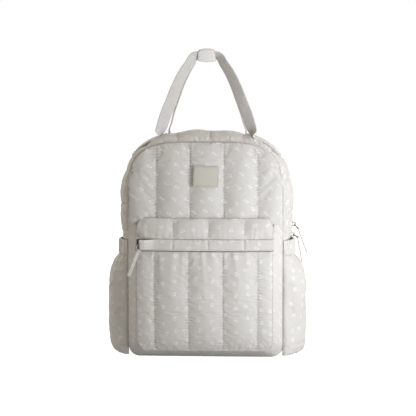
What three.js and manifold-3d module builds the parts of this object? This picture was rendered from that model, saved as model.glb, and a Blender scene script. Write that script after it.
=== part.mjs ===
// Quilted puffer backpack, standing on its base: an arched padded bag with a zip over the top, a puffed front
// pocket with a flapped zip, two elastic-topped side pockets, two webbing hand loops held together by a wrap,
// and two padded shoulder straps at the back.
// Millimetres, +Z up, front towards -Y. The origin is on the floor, under the middle of the base.
import * as THREE from "three";
import Module from "manifold-3d";

const wasm = await Module();
wasm.setup();

// Clearance that pieces which are sewn, clipped or laid together keep from each other
const GAP = 0.3;

// Main bag, measured at the front seam, where the front panel meets the gusset
const SEAM_WIDTH = 265;
const SEAM_HEIGHT = 368.5;
const SEAM_DEPTH = 100;
const SHOULDER_RISE = 118.5;
const SHOULDER_SQUARENESS = 4;
const BASE_CORNER = 20;

// How far the stuffed gusset stands out beyond that seam at half its depth
const SIDE_BELLY = 17;
const TOP_BELLY = 18;
const BELLY_SQUARENESS = 2.65;
const BELLY_LOW = 0.35;
const BELLY_LOW_HEIGHT = 150;
const BELLY_ROUNDNESS = 0.75;

// Padded cloth
const WALL = 4;
const PANEL_CROWN = 10;
const BACK_CROWN = 5;
const QUILT_PITCH = 57.6;
const QUILT_SHIFT = 2.7;
const GUSSET_QUILT_SHIFT = 36;
const QUILT_PUFF = 6;
const PUFF_FADE = 6;
const PANEL_TOP_ROOM = 10;
const GUSSET_PUFF = 2;
const BACK_WALL = 7;

// Main zip
const ZIP_END_HEIGHT = 200;
const ZIP_SLOT = 13;
const ZIP_TAPE = 1.4;
const ZIP_SUNK = 1.6;
const COIL_WIDTH = 5.4;
const COIL_HEIGHT = 1.5;

// Front pocket
const POCKET_TOP = 240;
const POCKET_BASE = 12;
const POCKET_WIDTH = 234;
const POCKET_DEPTH = 30;
const POCKET_WALL = 3;
const POCKET_CORNER = 19;
const POCKET_QUILT_PITCH = 58;
const POCKET_QUILT_SHIFT = 2;
const BAND_QUILT_PITCH = 60.2;
const BAND_QUILT_SHIFT = 36.6;
const POCKET_ZIP_FROM = 185;
const POCKET_ZIP_TO = 204;
const POCKET_ZIP_SUNK = 2.3;
const FLAP_THICKNESS = 3.2;
const FLAP_LIFT = 1;
const FLAP_FROM = -100;
const FLAP_TO = 116;
const STRIP_TOP = 228;
const STRIP_TOP_CUT = 6;
const STRIP_INSET = 1.5;
const STRIP_FLOOR_GAP = 3;

// Side pockets
const CUFF_HEIGHT = 26;
const CUFF_THICKNESS = 2.4;
const CUFF_STANDOFF = { top: 5.5, foot: 10.5 };
const SIDE_POCKET_STANDOFF = 31;
const SIDE_POCKET_WALL = 2.5;
const SIDE_POCKET_FLOOR = 2;
const GATHER_COUNT = 7;
const GATHER_DEPTH = 1.4;

// Hand loops
const WEBBING_WIDTH = 22;
const WEBBING_THICKNESS = 2.4;
const LOOP_TOP = 517.5;
const FRONT_LOOP_SPREAD = 84;
const BACK_LOOP_SPREAD = 70;
const LOOP_SEWN = 54;
const LOOP_SETBACK = 24;
const LOOP_PINCH = 1.8;
const PINCH_ANGLE = 35;
const WRAP_LENGTH = 32;
const WRAP_WALL = 2;
const WRAP_CLEARANCE = 1.2;
const LOOP_FLAT = WRAP_LENGTH / 2 + 1.5;

// Label
const LABEL_WIDTH = 44;
const LABEL_HEIGHT = 35;
const LABEL_THICKNESS = 0.9;
const LABEL_PLACE = { across: 2, height: 310, tilt: -2.5 };

// Zip sliders, their rings and their leather tabs
const SLIDER_LENGTH = 11;
const SLIDER_WIDTH = 8.5;
const SLIDER_PLATE = 2.2;
const BRIDGE_WIDTH = 3;
const BRIDGE_RISE = 5.2;
const BRIDGE_BAR = 1.3;
const RING_WIDTH = 10.4;
const RING_LENGTH = 10.5;
const RING_WIRE = 1.4;
const TAB_LENGTH = 46;
const TAB_WIDTH = 6.5;
const TAB_THICKNESS = 2.2;
const MAIN_SLIDERS = [
  // name ending, height over the zip's end, lean of the ring, lean of the tab
  ["_upper", 25, 45, 20],
  ["_lower", 7, 62, 10],
];
const POCKET_SLIDER_PLACE = -106.5;

// Shoulder straps
const STRAP_WIDTH = 60;
const STRAP_THICKNESS = 10;
const STRAP_TOP = 348;
const STRAP_END = 128;
const STRAP_TOP_SPREAD = SEAM_WIDTH * 0.16;
const STRAP_END_SPREAD = SEAM_WIDTH * 0.28;
const STRAP_BOW = 30;
const ADJUSTER_WIDTH = 34;
const ADJUSTER_LENGTH = 26;
const ADJUSTER_THICKNESS = 5;
const ADJUSTER_BAR = 3;
const STRAP_WEBBING_WIDTH = 25;
const STRAP_WEBBING_FOOT = 30;
const STRAP_WEBBING_SPREAD = SEAM_WIDTH / 2 - 24;
const STRAP_WEBBING_TAIL = 10;

const SHOULDER_START = SEAM_HEIGHT - SHOULDER_RISE;
const HALF_DEPTH = SEAM_DEPTH / 2;

const COLOURS = {
  cloth: "#cfccc6",
  webbing: "#d6d3cf",
  label: "#d8d5c8",
  zip: "#c3bbb0",
  metal: "#8f8b86",
  leather: "#d4d1cc",
  plastic: "#bdb9b2",
};

const material = {
  cloth: new THREE.MeshStandardMaterial({ color: COLOURS.cloth, roughness: 0.85 }),
  webbing: new THREE.MeshStandardMaterial({ color: COLOURS.webbing, roughness: 0.9 }),
  label: new THREE.MeshStandardMaterial({ color: COLOURS.label, roughness: 0.9 }),
  zip: new THREE.MeshStandardMaterial({ color: COLOURS.zip, roughness: 0.7 }),
  metal: new THREE.MeshStandardMaterial({ color: COLOURS.metal, roughness: 0.3, metalness: 1 }),
  leather: new THREE.MeshStandardMaterial({ color: COLOURS.leather, roughness: 0.55 }),
  plastic: new THREE.MeshStandardMaterial({ color: COLOURS.plastic, roughness: 0.5 }),
};

const bag = new THREE.Group();

function add(name, geometry, made) {
  const mesh = new THREE.Mesh(geometry, made);
  mesh.name = name;
  bag.add(mesh);
  return mesh;
}

const vec = (x, y, z) => new THREE.Vector3(x, y, z);
const { lerp, clamp, smoothstep, degToRad } = THREE.MathUtils;
const range = (count) => Array.from({ length: count + 1 }, (_, i) => i / count);

// Reads a table of [place, value, value ...] rows at a place between its first and last, by straight lines.
function readTable(table, place, column = 1) {
  const next = Math.max(1, table.findIndex((row, i) => i > 0 && row[0] >= place));
  const [a, b] = [table[next - 1], table[next]];
  return lerp(a[column], b[column], clamp((place - a[0]) / (b[0] - a[0]), 0, 1));
}

// A closed surface from points and triangles, with its faces turned outwards.
function solid(points, index) {
  let volume = 0;
  for (let i = 0; i < index.length; i += 3) {
    const [a, b, c] = [points[index[i]], points[index[i + 1]], points[index[i + 2]]];
    volume += a.dot(vec(0, 0, 0).crossVectors(b, c));
  }
  if (volume < 0) index.reverse();
  const geometry = new THREE.BufferGeometry().setFromPoints(points);
  geometry.setIndex(index);
  return geometry;
}

// A sheet of padded cloth: two grids of points, its outer and its inner face, joined round the edge.
function sheet(outer, inner) {
  const rows = outer.length;
  const columns = outer[0].length;
  const back = rows * columns;
  const index = [];
  const quad = (a, b, c, d) => index.push(a, b, c, a, c, d);
  for (let i = 0; i + 1 < rows; i++)
    for (let j = 0; j + 1 < columns; j++) {
      const a = i * columns + j;
      quad(a, a + 1, a + columns + 1, a + columns);
      quad(back + a, back + a + columns, back + a + columns + 1, back + a + 1);
    }
  const rim = [];
  for (let j = 0; j + 1 < columns; j++) rim.push(j);
  for (let i = 0; i + 1 < rows; i++) rim.push(i * columns + columns - 1);
  for (let j = columns - 1; j > 0; j--) rim.push((rows - 1) * columns + j);
  for (let i = rows - 1; i > 0; i--) rim.push(i * columns);
  rim.forEach((a, k) => {
    const b = rim[(k + 1) % rim.length];
    quad(b, a, back + a, back + b);
  });
  return solid([...outer.flat(), ...inner.flat()], index);
}

// A flat section carried through frames of {at, side, up}, with its two ends closed.
function loft(section, frames) {
  const points = frames.flatMap(({ at, side, up }) =>
    section.map(([x, y]) => at.clone().addScaledVector(side, x).addScaledVector(up, y)),
  );
  const n = section.length;
  const index = [];
  for (let i = 0; i + 1 < frames.length; i++)
    for (let j = 0; j < n; j++) {
      const [a, b] = [i * n + j, i * n + ((j + 1) % n)];
      index.push(a, b, b + n, a, b + n, a + n);
    }
  const last = (frames.length - 1) * n;
  const flat = section.map(([x, y]) => new THREE.Vector2(x, y));
  for (const [a, b, c] of THREE.ShapeUtils.triangulateShape(flat, []))
    index.push(c, b, a, last + a, last + b, last + c);
  return solid(points, index);
}

// A band's section: width by thickness, with its four corners taken off.
function bandSection(width, thickness, chamfer) {
  const [w, t, c] = [width / 2, thickness / 2, chamfer];
  return [
    [-w + c, -t], [w - c, -t], [w, -t + c], [w, t - c],
    [w - c, t], [-w + c, t], [-w, t - c], [-w, -t + c],
  ];
}

function manifoldOf(geometry) {
  const { position } = geometry.attributes;
  const triVerts = new Uint32Array(geometry.index.array);
  return new wasm.Manifold(new wasm.Mesh({ numProp: 3, vertProperties: position.array, triVerts }));
}

function geometryOf(made) {
  const mesh = made.getMesh();
  const geometry = new THREE.BufferGeometry();
  geometry.setAttribute("position", new THREE.BufferAttribute(mesh.vertProperties, 3));
  geometry.setIndex(new THREE.BufferAttribute(mesh.triVerts, 1));
  return geometry;
}

// A block between two corners, as points and triangles that are already shared.
function block(low, high) {
  const section = [[low.x, low.y], [high.x, low.y], [high.x, high.y], [low.x, high.y]];
  const frame = (z) => ({ at: vec(0, 0, z), side: vec(1, 0, 0), up: vec(0, 1, 0) });
  return loft(section, [frame(low.z), frame(high.z)]);
}

// The arch of the bag seen from the front, as a half width at each height.
// How full the gusset is at a depth: 0 at the seams, 1 half way between them.
const fullness = (y) => Math.max(0, Math.cos((Math.PI / 2) * clamp(y / HALF_DEPTH, -1, 1))) ** BELLY_ROUNDNESS;

// How much of the side belly is there at a height: little behind the side pockets, all of it at the shoulders.
const bellyShare = (z) => lerp(BELLY_LOW, 1, smoothstep(z, BELLY_LOW_HEIGHT, SHOULDER_START));

const sideHalf = (y, z) => SEAM_WIDTH / 2 + SIDE_BELLY * bellyShare(z) * fullness(y);

// Height of the front seam over a place across the bag, and the bag's floor there, rounded at its corners.
function seamTop(x, inset = 0) {
  const half = SEAM_WIDTH / 2 - inset;
  const share = 1 - clamp(Math.abs(x) / half, 0, 1) ** SHOULDER_SQUARENESS;
  return SHOULDER_START + (SHOULDER_RISE - inset) * share ** (1 / SHOULDER_SQUARENESS);
}

function seamFloor(x, half = SEAM_WIDTH / 2, corner = BASE_CORNER) {
  const over = clamp((Math.abs(x) - half + corner) / corner, 0, 1);
  return corner * (1 - Math.sqrt(1 - over * over));
}

// Points along a superellipse shoulder from the straight side up to the middle of the top.
function shoulder(half, rise, squareness) {
  const power = 2 / squareness;
  return range(80).map((share) => {
    const turn = (Math.PI / 2) * share * share * (3 - 2 * share);
    return [half * Math.cos(turn) ** power, SHOULDER_START + rise * Math.sin(turn) ** power];
  });
}

// A whole arch from the left zip end, over the top, to the right zip end, evenly spaced by length.
function arch(halfAt, rise, squareness, inset) {
  const low = [[halfAt(ZIP_END_HEIGHT) - inset, ZIP_END_HEIGHT]];
  const right = [...low, ...shoulder(halfAt(SHOULDER_START) - inset, rise - inset, squareness)];
  const left = right.map(([x, z]) => [-x, z]);
  const points = [...left, ...right.reverse().slice(1)].map(([x, z]) => new THREE.Vector2(x, z));
  const lengths = [0];
  points.slice(1).forEach((p, i) => lengths.push(lengths[i] + p.distanceTo(points[i])));
  const whole = lengths.at(-1);
  const at = (share) => {
    const wanted = clamp(share, 0, 1) * whole;
    const next = Math.max(1, lengths.findIndex((value) => value >= wanted - 1e-6));
    const part = (wanted - lengths[next - 1]) / (lengths[next] - lengths[next - 1]);
    return points[next - 1].clone().lerp(points[next], part);
  };
  return { at, whole };
}

const arches = new Map();
function archPair(inset) {
  if (!arches.has(inset)) {
    const seam = arch(() => SEAM_WIDTH / 2, SHOULDER_RISE, SHOULDER_SQUARENESS, inset);
    const ridge = arch((z) => sideHalf(0, z), SHOULDER_RISE + TOP_BELLY, BELLY_SQUARENESS, inset);
    arches.set(inset, { seam, ridge });
  }
  return arches.get(inset);
}

// A point of the gusset at a share of the arch's length and a depth, pushed out along its slope.
function gussetPoint(share, y, inset = 0, push = 0) {
  const { seam, ridge } = archPair(inset);
  const place = (s) => seam.at(s).lerp(ridge.at(s), fullness(y));
  const step = 0.004;
  const along = place(Math.min(1, share + step)).sub(place(Math.max(0, share - step))).normalize();
  const p = place(share);
  return vec(p.x - along.y * push, y, p.y + along.x * push);
}

const RIDGE_LENGTH = archPair(0).ridge.whole;

// The gusset's outer surface as a frame: along the arch, across it from front to back, and out of it.
function gussetFrame(share, y) {
  const step = 0.5;
  const at = gussetPoint(share, y);
  const along = gussetPoint(share + 0.003, y).sub(gussetPoint(share - 0.003, y)).normalize();
  const across = gussetPoint(share, y + step).sub(gussetPoint(share, y - step)).normalize();
  return { at, along, across, out: vec(0, 0, 0).crossVectors(along, across).normalize() };
}

// Puffs between seams a pitch apart: 0 on a seam, 1 half way between two.
function puff(place, pitch, shift) {
  const share = (place - shift) / pitch + 0.5;
  return 1 - Math.abs(2 * (share - Math.floor(share)) - 1) ** 2.2;
}

// Places across a quilted panel: its edges, its seams, and the puffs between them.
function quiltPlaces(half, pitch, shift) {
  const seams = [];
  for (let k = Math.floor(-half / pitch) - 1; k <= half / pitch + 1; k++) {
    const seam = shift + (k + 0.5) * pitch;
    if (Math.abs(seam) < half - pitch * 0.12) seams.push(seam);
  }
  const ends = [-half, ...seams, half];
  const middle = [0, 0.14, 0.5, 0.86];
  const outermost = [0, 0.05, 0.15, 0.32, 0.58, 0.86];
  const sharesOf = (i) => {
    if (i === 0) return outermost;
    return i === ends.length - 2 ? [0, ...outermost.slice(1).reverse().map((s) => 1 - s)] : middle;
  };
  return [...ends.slice(1).flatMap((end, i) => sharesOf(i).map((s) => lerp(ends[i], end, s))), half];
}

// How crowned a panel is at a place across and a share of its height: 0 at its edges, 1 in its middle.
const crown = (across, up) =>
  (1 - Math.abs(clamp(across, -1, 1)) ** 2.5) * (1 - Math.abs(2 * clamp(up, 0, 1) - 1) ** 3);

const upShare = (x, z) => (z - seamFloor(x)) / (seamTop(x) - seamFloor(x));

// The main front panel's outer face without its puffs.
const frontFace = (x, z) =>
  -(HALF_DEPTH + GAP + WALL + PANEL_CROWN * crown((2 * x) / SEAM_WIDTH, upShare(x, z)));

// The front panel is quilted down to the pocket, and plain behind it.
function frontPanel() {
  const places = quiltPlaces(SEAM_WIDTH / 2, QUILT_PITCH, QUILT_SHIFT);
  const pocketRow = POCKET_TOP;
  const rows = [
    ...[0, 0.07, 0.5, 0.9].map((share) => ({ share, from: 0, to: pocketRow })),
    ...[0, 0.08, 0.3, 0.6, 0.85, 0.95, 1].map((share) => ({ share, from: pocketRow, to: 1 })),
  ];
  const heightOf = ({ share, from }, x) => {
    const [low, split, high] = [seamFloor(x), Math.min(pocketRow, seamTop(x) - PANEL_TOP_ROOM), seamTop(x)];
    return from === 0 ? lerp(low, split, share) : lerp(split, high, share);
  };
  const face = (row, x, outer) => {
    const z = heightOf(row, x);
    const upper = row.from === 0 ? 0 : Math.min(1, row.share / 0.3, (1 - row.share) / 0.15);
    const edge = clamp((SEAM_WIDTH / 2 - Math.abs(x)) / PUFF_FADE, 0, 1);
    const raised = QUILT_PUFF * puff(x, QUILT_PITCH, QUILT_SHIFT) * upper * edge;
    const level = PANEL_CROWN * crown((2 * x) / SEAM_WIDTH, upShare(x, z)) * 0.8;
    return outer ? vec(x, frontFace(x, z) - raised, z) : vec(x, -(HALF_DEPTH + GAP + level), z);
  };
  const grid = (outer) => rows.map((row) => places.map((x) => face(row, x, outer)));
  add("front_panel", sheet(grid(true), grid(false)), material.cloth);
}

// The back panel, which lies against the wearer, is plain, thicker and only lightly crowned.
const backFace = (x, z) =>
  HALF_DEPTH + GAP + BACK_WALL + BACK_CROWN * crown((2 * x) / SEAM_WIDTH, upShare(x, z));

function backPanel() {
  const places = range(14).map((s) => (SEAM_WIDTH / 2) * Math.sin((s - 0.5) * Math.PI));
  const rows = [0, 0.05, 0.2, 0.4, 0.6, 0.8, 0.95, 1];
  const heightAt = (share, x) => lerp(seamFloor(x), seamTop(x), share);
  const outer = rows.map((s) => places.map((x) => vec(x, backFace(x, heightAt(s, x)), heightAt(s, x))));
  const inner = rows.map((s) => places.map((x) => vec(x, HALF_DEPTH + GAP, heightAt(s, x))));
  add("back_panel", sheet(outer, inner), material.cloth);
}

// The two quilted halves of the upper gusset, in front of the zip and behind it.
function zipGussets() {
  const places = quiltPlaces(RIDGE_LENGTH / 2, QUILT_PITCH, GUSSET_QUILT_SHIFT);
  const depths = [0, 0.2, 0.5, 0.8, 1];
  for (const [name, side] of [["zip_gusset_front", -1], ["zip_gusset_back", 1]]) {
    const [near, far] = [(side * ZIP_SLOT) / 2, side * HALF_DEPTH];
    const pushed = (place, d) => {
      const rim = Math.min(1, (1 - d) / 0.2, d / 0.2, (RIDGE_LENGTH / 2 - Math.abs(place)) / PUFF_FADE);
      return GUSSET_PUFF * puff(place, QUILT_PITCH, GUSSET_QUILT_SHIFT) * Math.max(0, rim);
    };
    const grid = (inset, raised) =>
      places.map((place) =>
        depths.map((d) =>
          gussetPoint(0.5 + place / RIDGE_LENGTH, lerp(near, far, d), inset, raised * pushed(place, d)),
        ),
      );
    add(name, sheet(grid(0, 1), grid(WALL, 0)), material.cloth);
  }
}

// Below the zip's ends each side of the bag is one plain padded wall, as deep as the bag.
function sideGussets() {
  const heights = [0, 0.25, 0.5, 0.75, 1].map((s) => lerp(BASE_CORNER + GAP, ZIP_END_HEIGHT - GAP, s));
  const depths = range(8).map((s) => HALF_DEPTH * Math.sin((s - 0.5) * Math.PI));
  for (const [name, side] of [["side_gusset_left", -1], ["side_gusset_right", 1]]) {
    const grid = (inset) => heights.map((z) => depths.map((y) => vec(side * (sideHalf(y, z) - inset), y, z)));
    add(name, sheet(grid(0), grid(WALL)), material.cloth);
  }
}

// The base is flat underneath and turns up at its two ends to meet the sides.
function basePanel() {
  const depths = range(6).map((s) => HALF_DEPTH * Math.sin((s - 0.5) * Math.PI));
  const turns = range(4).map((s) => (Math.PI / 2) * s);
  const end = (y, side, inset) =>
    turns.map((a) => {
      const half = sideHalf(y, BASE_CORNER);
      const radius = BASE_CORNER - inset;
      return vec(side * (half - BASE_CORNER + radius * Math.sin(a)), y, BASE_CORNER - radius * Math.cos(a));
    });
  const grid = (inset) =>
    depths.map((y) => [...end(y, -1, inset).reverse(), vec(0, y, inset), ...end(y, 1, inset)]);
  add("base_panel", sheet(grid(0), grid(WALL)), material.cloth);
}

// Height of the coil's crest over the gusset's own outer line, at half depth.
const COIL_CREST = COIL_HEIGHT + ZIP_TAPE / 2 - ZIP_SUNK;

// The main zip: tape with the closed coil standing along its middle, from end to end of the arch.
function mainZip() {
  const [w, c, t] = [ZIP_SLOT / 2 - GAP, COIL_WIDTH / 2, ZIP_TAPE / 2];
  const section = [[-w, -t], [w, -t], [w, t], [c, t], [c * 0.6, t + COIL_HEIGHT], [-c * 0.6, t + COIL_HEIGHT], [-c, t], [-w, t]];
  const frames = range(34).map((s) => {
    const { at, across, out } = gussetFrame(s, 0);
    return { at: at.clone().addScaledVector(out, -ZIP_SUNK), side: across, up: out };
  });
  add("main_zip", loft(section, frames), material.zip);
}

// Front pocket
// Share of the pocket's depth at a share of its height: it swells low down and closes in at the top.
const POCKET_PROFILE = [
  // height share, depth share
  [0, 0.66],
  [0.1, 0.86],
  [0.35, 1],
  [0.6, 0.95],
  [0.78, 0.84],
  [0.86, 0.72],
  [0.94, 0.4],
  [1, 0.14],
];

const pocketShare = (z) => clamp((z - POCKET_BASE) / (POCKET_TOP - POCKET_BASE), 0, 1);
const pocketDepth = (x, z) =>
  POCKET_DEPTH * readTable(POCKET_PROFILE, pocketShare(z)) * (1 - 0.12 * ((2 * x) / POCKET_WIDTH) ** 2);

// Outer face of the pocket without its puffs. It keeps its depth in front of the main panel.
const pocketFace = (x, z) => frontFace(x, z) - pocketDepth(x, z);

const pocketHalf = (z) => {
  const up = clamp((z - POCKET_BASE) / POCKET_CORNER, 0, 1);
  return POCKET_WIDTH / 2 - POCKET_CORNER * (1 - Math.sqrt(1 - (1 - up) ** 2)) * 0.999;
};

// One quilted piece of the pocket's front, between two heights.
function pocketPiece(name, { heights, pitch, shift, puffed }) {
  const places = quiltPlaces(POCKET_WIDTH / 2, pitch, shift);
  const [low, high] = [heights[0], heights.at(-1)];
  const face = (z, x, outer) => {
    const share = (z - low) / (high - low);
    const across = (x * pocketHalf(z)) / (POCKET_WIDTH / 2);
    const rim = Math.min(1, share / 0.15, (1 - share) / 0.12, (POCKET_WIDTH / 2 - Math.abs(x)) / PUFF_FADE);
    const raised = puffed * puff(x, pitch, shift) * Math.max(0, rim);
    return vec(across, pocketFace(across, z) + (outer ? -raised : POCKET_WALL), z);
  };
  const grid = (outer) => heights.map((z) => places.map((x) => face(z, x, outer)));
  add(name, sheet(grid(true), grid(false)), material.cloth);
}

const heightAtShare = (share) => lerp(POCKET_BASE, POCKET_TOP, share);

function pocketPieces() {
  pocketPiece("pocket_lower_panel", {
    heights: [...[0, 0.02, 0.05, 0.1, 0.22, 0.35, 0.6, 0.71].map(heightAtShare), POCKET_ZIP_FROM],
    pitch: POCKET_QUILT_PITCH,
    shift: POCKET_QUILT_SHIFT,
    puffed: 5.5,
  });
  pocketPiece("pocket_upper_band", {
    heights: [POCKET_ZIP_TO, ...[0.86, 0.9, 0.94, 0.98, 1].map(heightAtShare)],
    pitch: BAND_QUILT_PITCH,
    shift: BAND_QUILT_SHIFT,
    puffed: 5,
  });
}

// The flap is a folded strip sewn under the upper band. It hangs in front of the pocket's zip, and leaves
// the zip's left end free for the slider.
function pocketFlap() {
  const places = range(12).map((s) => lerp(FLAP_FROM, FLAP_TO, s));
  const rows = [0, 0.35, 0.8, 1];
  const face = (s, x, outer) => {
    const low = pocketFace(x, POCKET_ZIP_FROM) - FLAP_LIFT;
    const high = pocketFace(x, POCKET_ZIP_TO) + POCKET_WALL;
    return vec(x, lerp(low, high, s) - outer * FLAP_THICKNESS, lerp(POCKET_ZIP_FROM + 1, POCKET_ZIP_TO - GAP, s));
  };
  const grid = (outer) => rows.map((s) => places.map((x) => face(s, x, outer)));
  add("pocket_zip_flap", sheet(grid(1), grid(0)), material.cloth);
}

// The pocket's zip lies behind the flap, from one end of the pocket to the other.
const POCKET_ZIP_MIDDLE = POCKET_ZIP_FROM + SLIDER_WIDTH / 2 + 2 * GAP;
const pocketZipBack = (x) => pocketFace(x, POCKET_ZIP_MIDDLE) + POCKET_WALL + POCKET_ZIP_SUNK;

function pocketZip() {
  const half = POCKET_WIDTH / 2 - SIDE_POCKET_WALL - 3 * GAP;
  const low = POCKET_ZIP_FROM + GAP - POCKET_ZIP_MIDDLE;
  const high = POCKET_ZIP_TO - GAP - POCKET_ZIP_MIDDLE;
  const [c, t, crest] = [COIL_WIDTH / 2, ZIP_TAPE, ZIP_TAPE + COIL_HEIGHT];
  const section = [[low, 0], [high, 0], [high, t], [c, t], [c * 0.6, crest], [-c * 0.6, crest], [-c, t], [low, t]];
  const frames = range(12).map((s) => {
    const x = lerp(-half, half, s);
    const slope = (pocketFace(x, POCKET_ZIP_TO) - pocketFace(x, POCKET_ZIP_FROM)) / (POCKET_ZIP_TO - POCKET_ZIP_FROM);
    return { at: vec(x, pocketZipBack(x), POCKET_ZIP_MIDDLE), side: vec(0, slope, 1), up: vec(0, -1, 0) };
  });
  add("pocket_zip", loft(section, frames), material.zip);
}

// A U-shaped run of [x, z] points: down the left, round two corners, and up the right. Its two tops lean in.
function uRun(half, floor, corner, lean) {
  const bend = range(4).map((s) => (Math.PI / 2) * s);
  const left = bend.map((a) => [-half + corner * (1 - Math.cos(a)), floor + corner * (1 - Math.sin(a))]);
  const sides = [1, 0.95, 0.84, 0.7, 0.4].map((s) => lerp(floor + corner, STRIP_TOP, s));
  const run = [...sides.map((z, i) => [-half + (i === 0 ? lean : 0), z]), ...left];
  return [...run, ...run.map(([x, z]) => [-x, z]).reverse()];
}

// The strip that gives the pocket its depth: from the main panel out to the back of the pocket's front.
function pocketGusset() {
  const onPanel = uRun(SEAM_WIDTH / 2 - STRIP_INSET, STRIP_FLOOR_GAP, BASE_CORNER, STRIP_TOP_CUT);
  const onPocket = uRun(POCKET_WIDTH / 2, POCKET_BASE, POCKET_CORNER, 0);
  const inwards = ([x, z]) => {
    const middle = vec(0, 0, POCKET_TOP / 2);
    const corner = vec(Math.sign(x) * (POCKET_WIDTH / 2 - POCKET_CORNER * 2), 0, Math.max(z, POCKET_CORNER * 2.2));
    return Math.abs(x) < 1 ? middle.sub(vec(x, 0, z)).normalize() : corner.sub(vec(x, 0, z)).normalize();
  };
  const depths = [0, 0.5, 1];
  const face = (k, d, inset) => {
    const [[xb, zb], [xf, zf]] = [onPanel[k], onPocket[k]];
    const at = vec(lerp(xb, xf, d), 0, lerp(zb, zf, d));
    at.addScaledVector(inwards([at.x, at.z]), inset);
    const from = frontFace(at.x, at.z) - 3 * GAP;
    const to = pocketFace(at.x, at.z) + POCKET_WALL + 2 * GAP;
    return at.setY(lerp(from, to, d));
  };
  const grid = (inset) => onPanel.map((_, k) => depths.map((d) => face(k, d, inset)));
  add("pocket_gusset", sheet(grid(0), grid(SIDE_POCKET_WALL)), material.cloth);
}

// Side pockets
// Share of the side pocket's height, from its cuff down, and share of how far it stands off the gusset.
const SIDE_POCKET_PROFILE = [
  // height share, standoff share
  [1, 0.41],
  [0.93, 0.64],
  [0.84, 0.84],
  [0.7, 0.97],
  [0.45, 1],
  [0.2, 0.97],
  [0.07, 0.93],
  [0.015, 0.8],
  [0, 0.62],
];

// Gathers in the cloth where the elastic draws it in: 1 on a fold, 0 between folds.
const gathered = (share) => 0.5 - 0.5 * Math.cos(2 * Math.PI * GATHER_COUNT * share);

// How the cloth of a side pocket rounds out between its front and back seams.
const pocketRound = (share) => Math.sin(Math.PI * clamp(share, 0, 1)) ** 0.5;

const SIDE_POCKET_TOP = ZIP_END_HEIGHT - CUFF_HEIGHT;
const sidePocketDepth = (share) => lerp(-1, 1, share) * (HALF_DEPTH - GAP);

function sidePockets() {
  const places = range(GATHER_COUNT * 2);
  const outerRow = ([up, stand], share) => {
    const y = sidePocketDepth(share);
    const z = lerp(SIDE_POCKET_FLOOR, SIDE_POCKET_TOP - GAP, up);
    const folds = GATHER_DEPTH * gathered(share) * clamp((up - 0.6) / 0.4, 0, 1);
    const off = 2 * GAP + SIDE_POCKET_WALL + (SIDE_POCKET_STANDOFF * stand + folds) * pocketRound(share);
    return vec(sideHalf(y, Math.max(z, BASE_CORNER)) + off, y, z);
  };
  const innerRow = ([up, stand], share) => {
    const p = outerRow([up, stand], share);
    const sunk = clamp((0.12 - up) / 0.12, 0, 1);
    return vec(p.x - SIDE_POCKET_WALL, p.y, p.z + SIDE_POCKET_WALL * sunk);
  };
  const floorEnd = (share, lift) => {
    const y = sidePocketDepth(share);
    return vec(sideHalf(y, BASE_CORNER) + 2 * GAP, y, SIDE_POCKET_FLOOR + lift);
  };
  const outer = [...SIDE_POCKET_PROFILE.map((r) => places.map((s) => outerRow(r, s))), places.map((s) => floorEnd(s, 0))];
  const inner = [...SIDE_POCKET_PROFILE.map((r) => places.map((s) => innerRow(r, s))), places.map((s) => floorEnd(s, SIDE_POCKET_WALL))];
  const turned = (grid, side) => grid.map((row) => row.map((p) => vec(side * p.x, p.y, p.z)));
  add("side_pocket_left", sheet(turned(outer, -1), turned(inner, -1)), material.cloth);
  add("side_pocket_right", sheet(turned(outer, 1), turned(inner, 1)), material.cloth);
}

// The elastic cuff is a gathered tube of cloth round the mouth of each side pocket.
const cuffOff = (z, share) =>
  GAP + pocketRound(share) * lerp(CUFF_STANDOFF.foot, CUFF_STANDOFF.top, (z - SIDE_POCKET_TOP) / CUFF_HEIGHT);

function pocketCuffs() {
  const places = range(GATHER_COUNT * 2);
  const heights = [SIDE_POCKET_TOP, ZIP_END_HEIGHT - CUFF_HEIGHT / 2, ZIP_END_HEIGHT];
  const point = (z, share, side, out) => {
    const y = sidePocketDepth(share);
    const folds = out * GATHER_DEPTH * gathered(share);
    return vec(side * (sideHalf(y, z) + cuffOff(z, share) + out * CUFF_THICKNESS + folds), y, z);
  };
  for (const [name, side] of [["pocket_cuff_left", -1], ["pocket_cuff_right", 1]]) {
    const grid = (out) => heights.map((z) => places.map((s) => point(z, s, side, out)));
    add(name, sheet(grid(1), grid(0)), material.cloth);
  }
}

// The woven label lies on the middle puff of the front panel.
function label() {
  const { across, height, tilt } = LABEL_PLACE;
  const point = (u, v, out) => {
    const turned = new THREE.Vector2(u * LABEL_WIDTH, v * LABEL_HEIGHT).rotateAround(new THREE.Vector2(), degToRad(tilt));
    const [x, z] = [across + turned.x, height + turned.y];
    return vec(x, frontFace(x, z) - QUILT_PUFF - 2 * GAP - out * LABEL_THICKNESS, z);
  };
  const grid = (out) => range(3).map((v) => range(6).map((u) => point(u - 0.5, v - 0.5, out)));
  add("label", sheet(grid(1), grid(0)), material.label);
}

// Hand loops
// Each loop from where it leaves the gusset up to where the wrap takes it: shares of the way out and of the
// way up, and how far it has turned, in degrees, on the front loop and on the back one.
const LOOP_CURVE = [
  // out, up, front turn, back turn
  [0.97, 0.06, 36, 3],
  [0.89, 0.15, 56, 6],
  [0.79, 0.29, 60, 8],
  [0.66, 0.44, 58, 12],
  [0.53, 0.6, 54, 18],
  [0.37, 0.76, 49, 26],
  [0.18, 0.9, 42, 32],
  [0, 1, PINCH_ANGLE, PINCH_ANGLE],
];

const pinchedSetback =
  LOOP_PINCH + (WEBBING_WIDTH / 2) * Math.cos(degToRad(PINCH_ANGLE)) + (WEBBING_THICKNESS / 2) * Math.sin(degToRad(PINCH_ANGLE));

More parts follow.
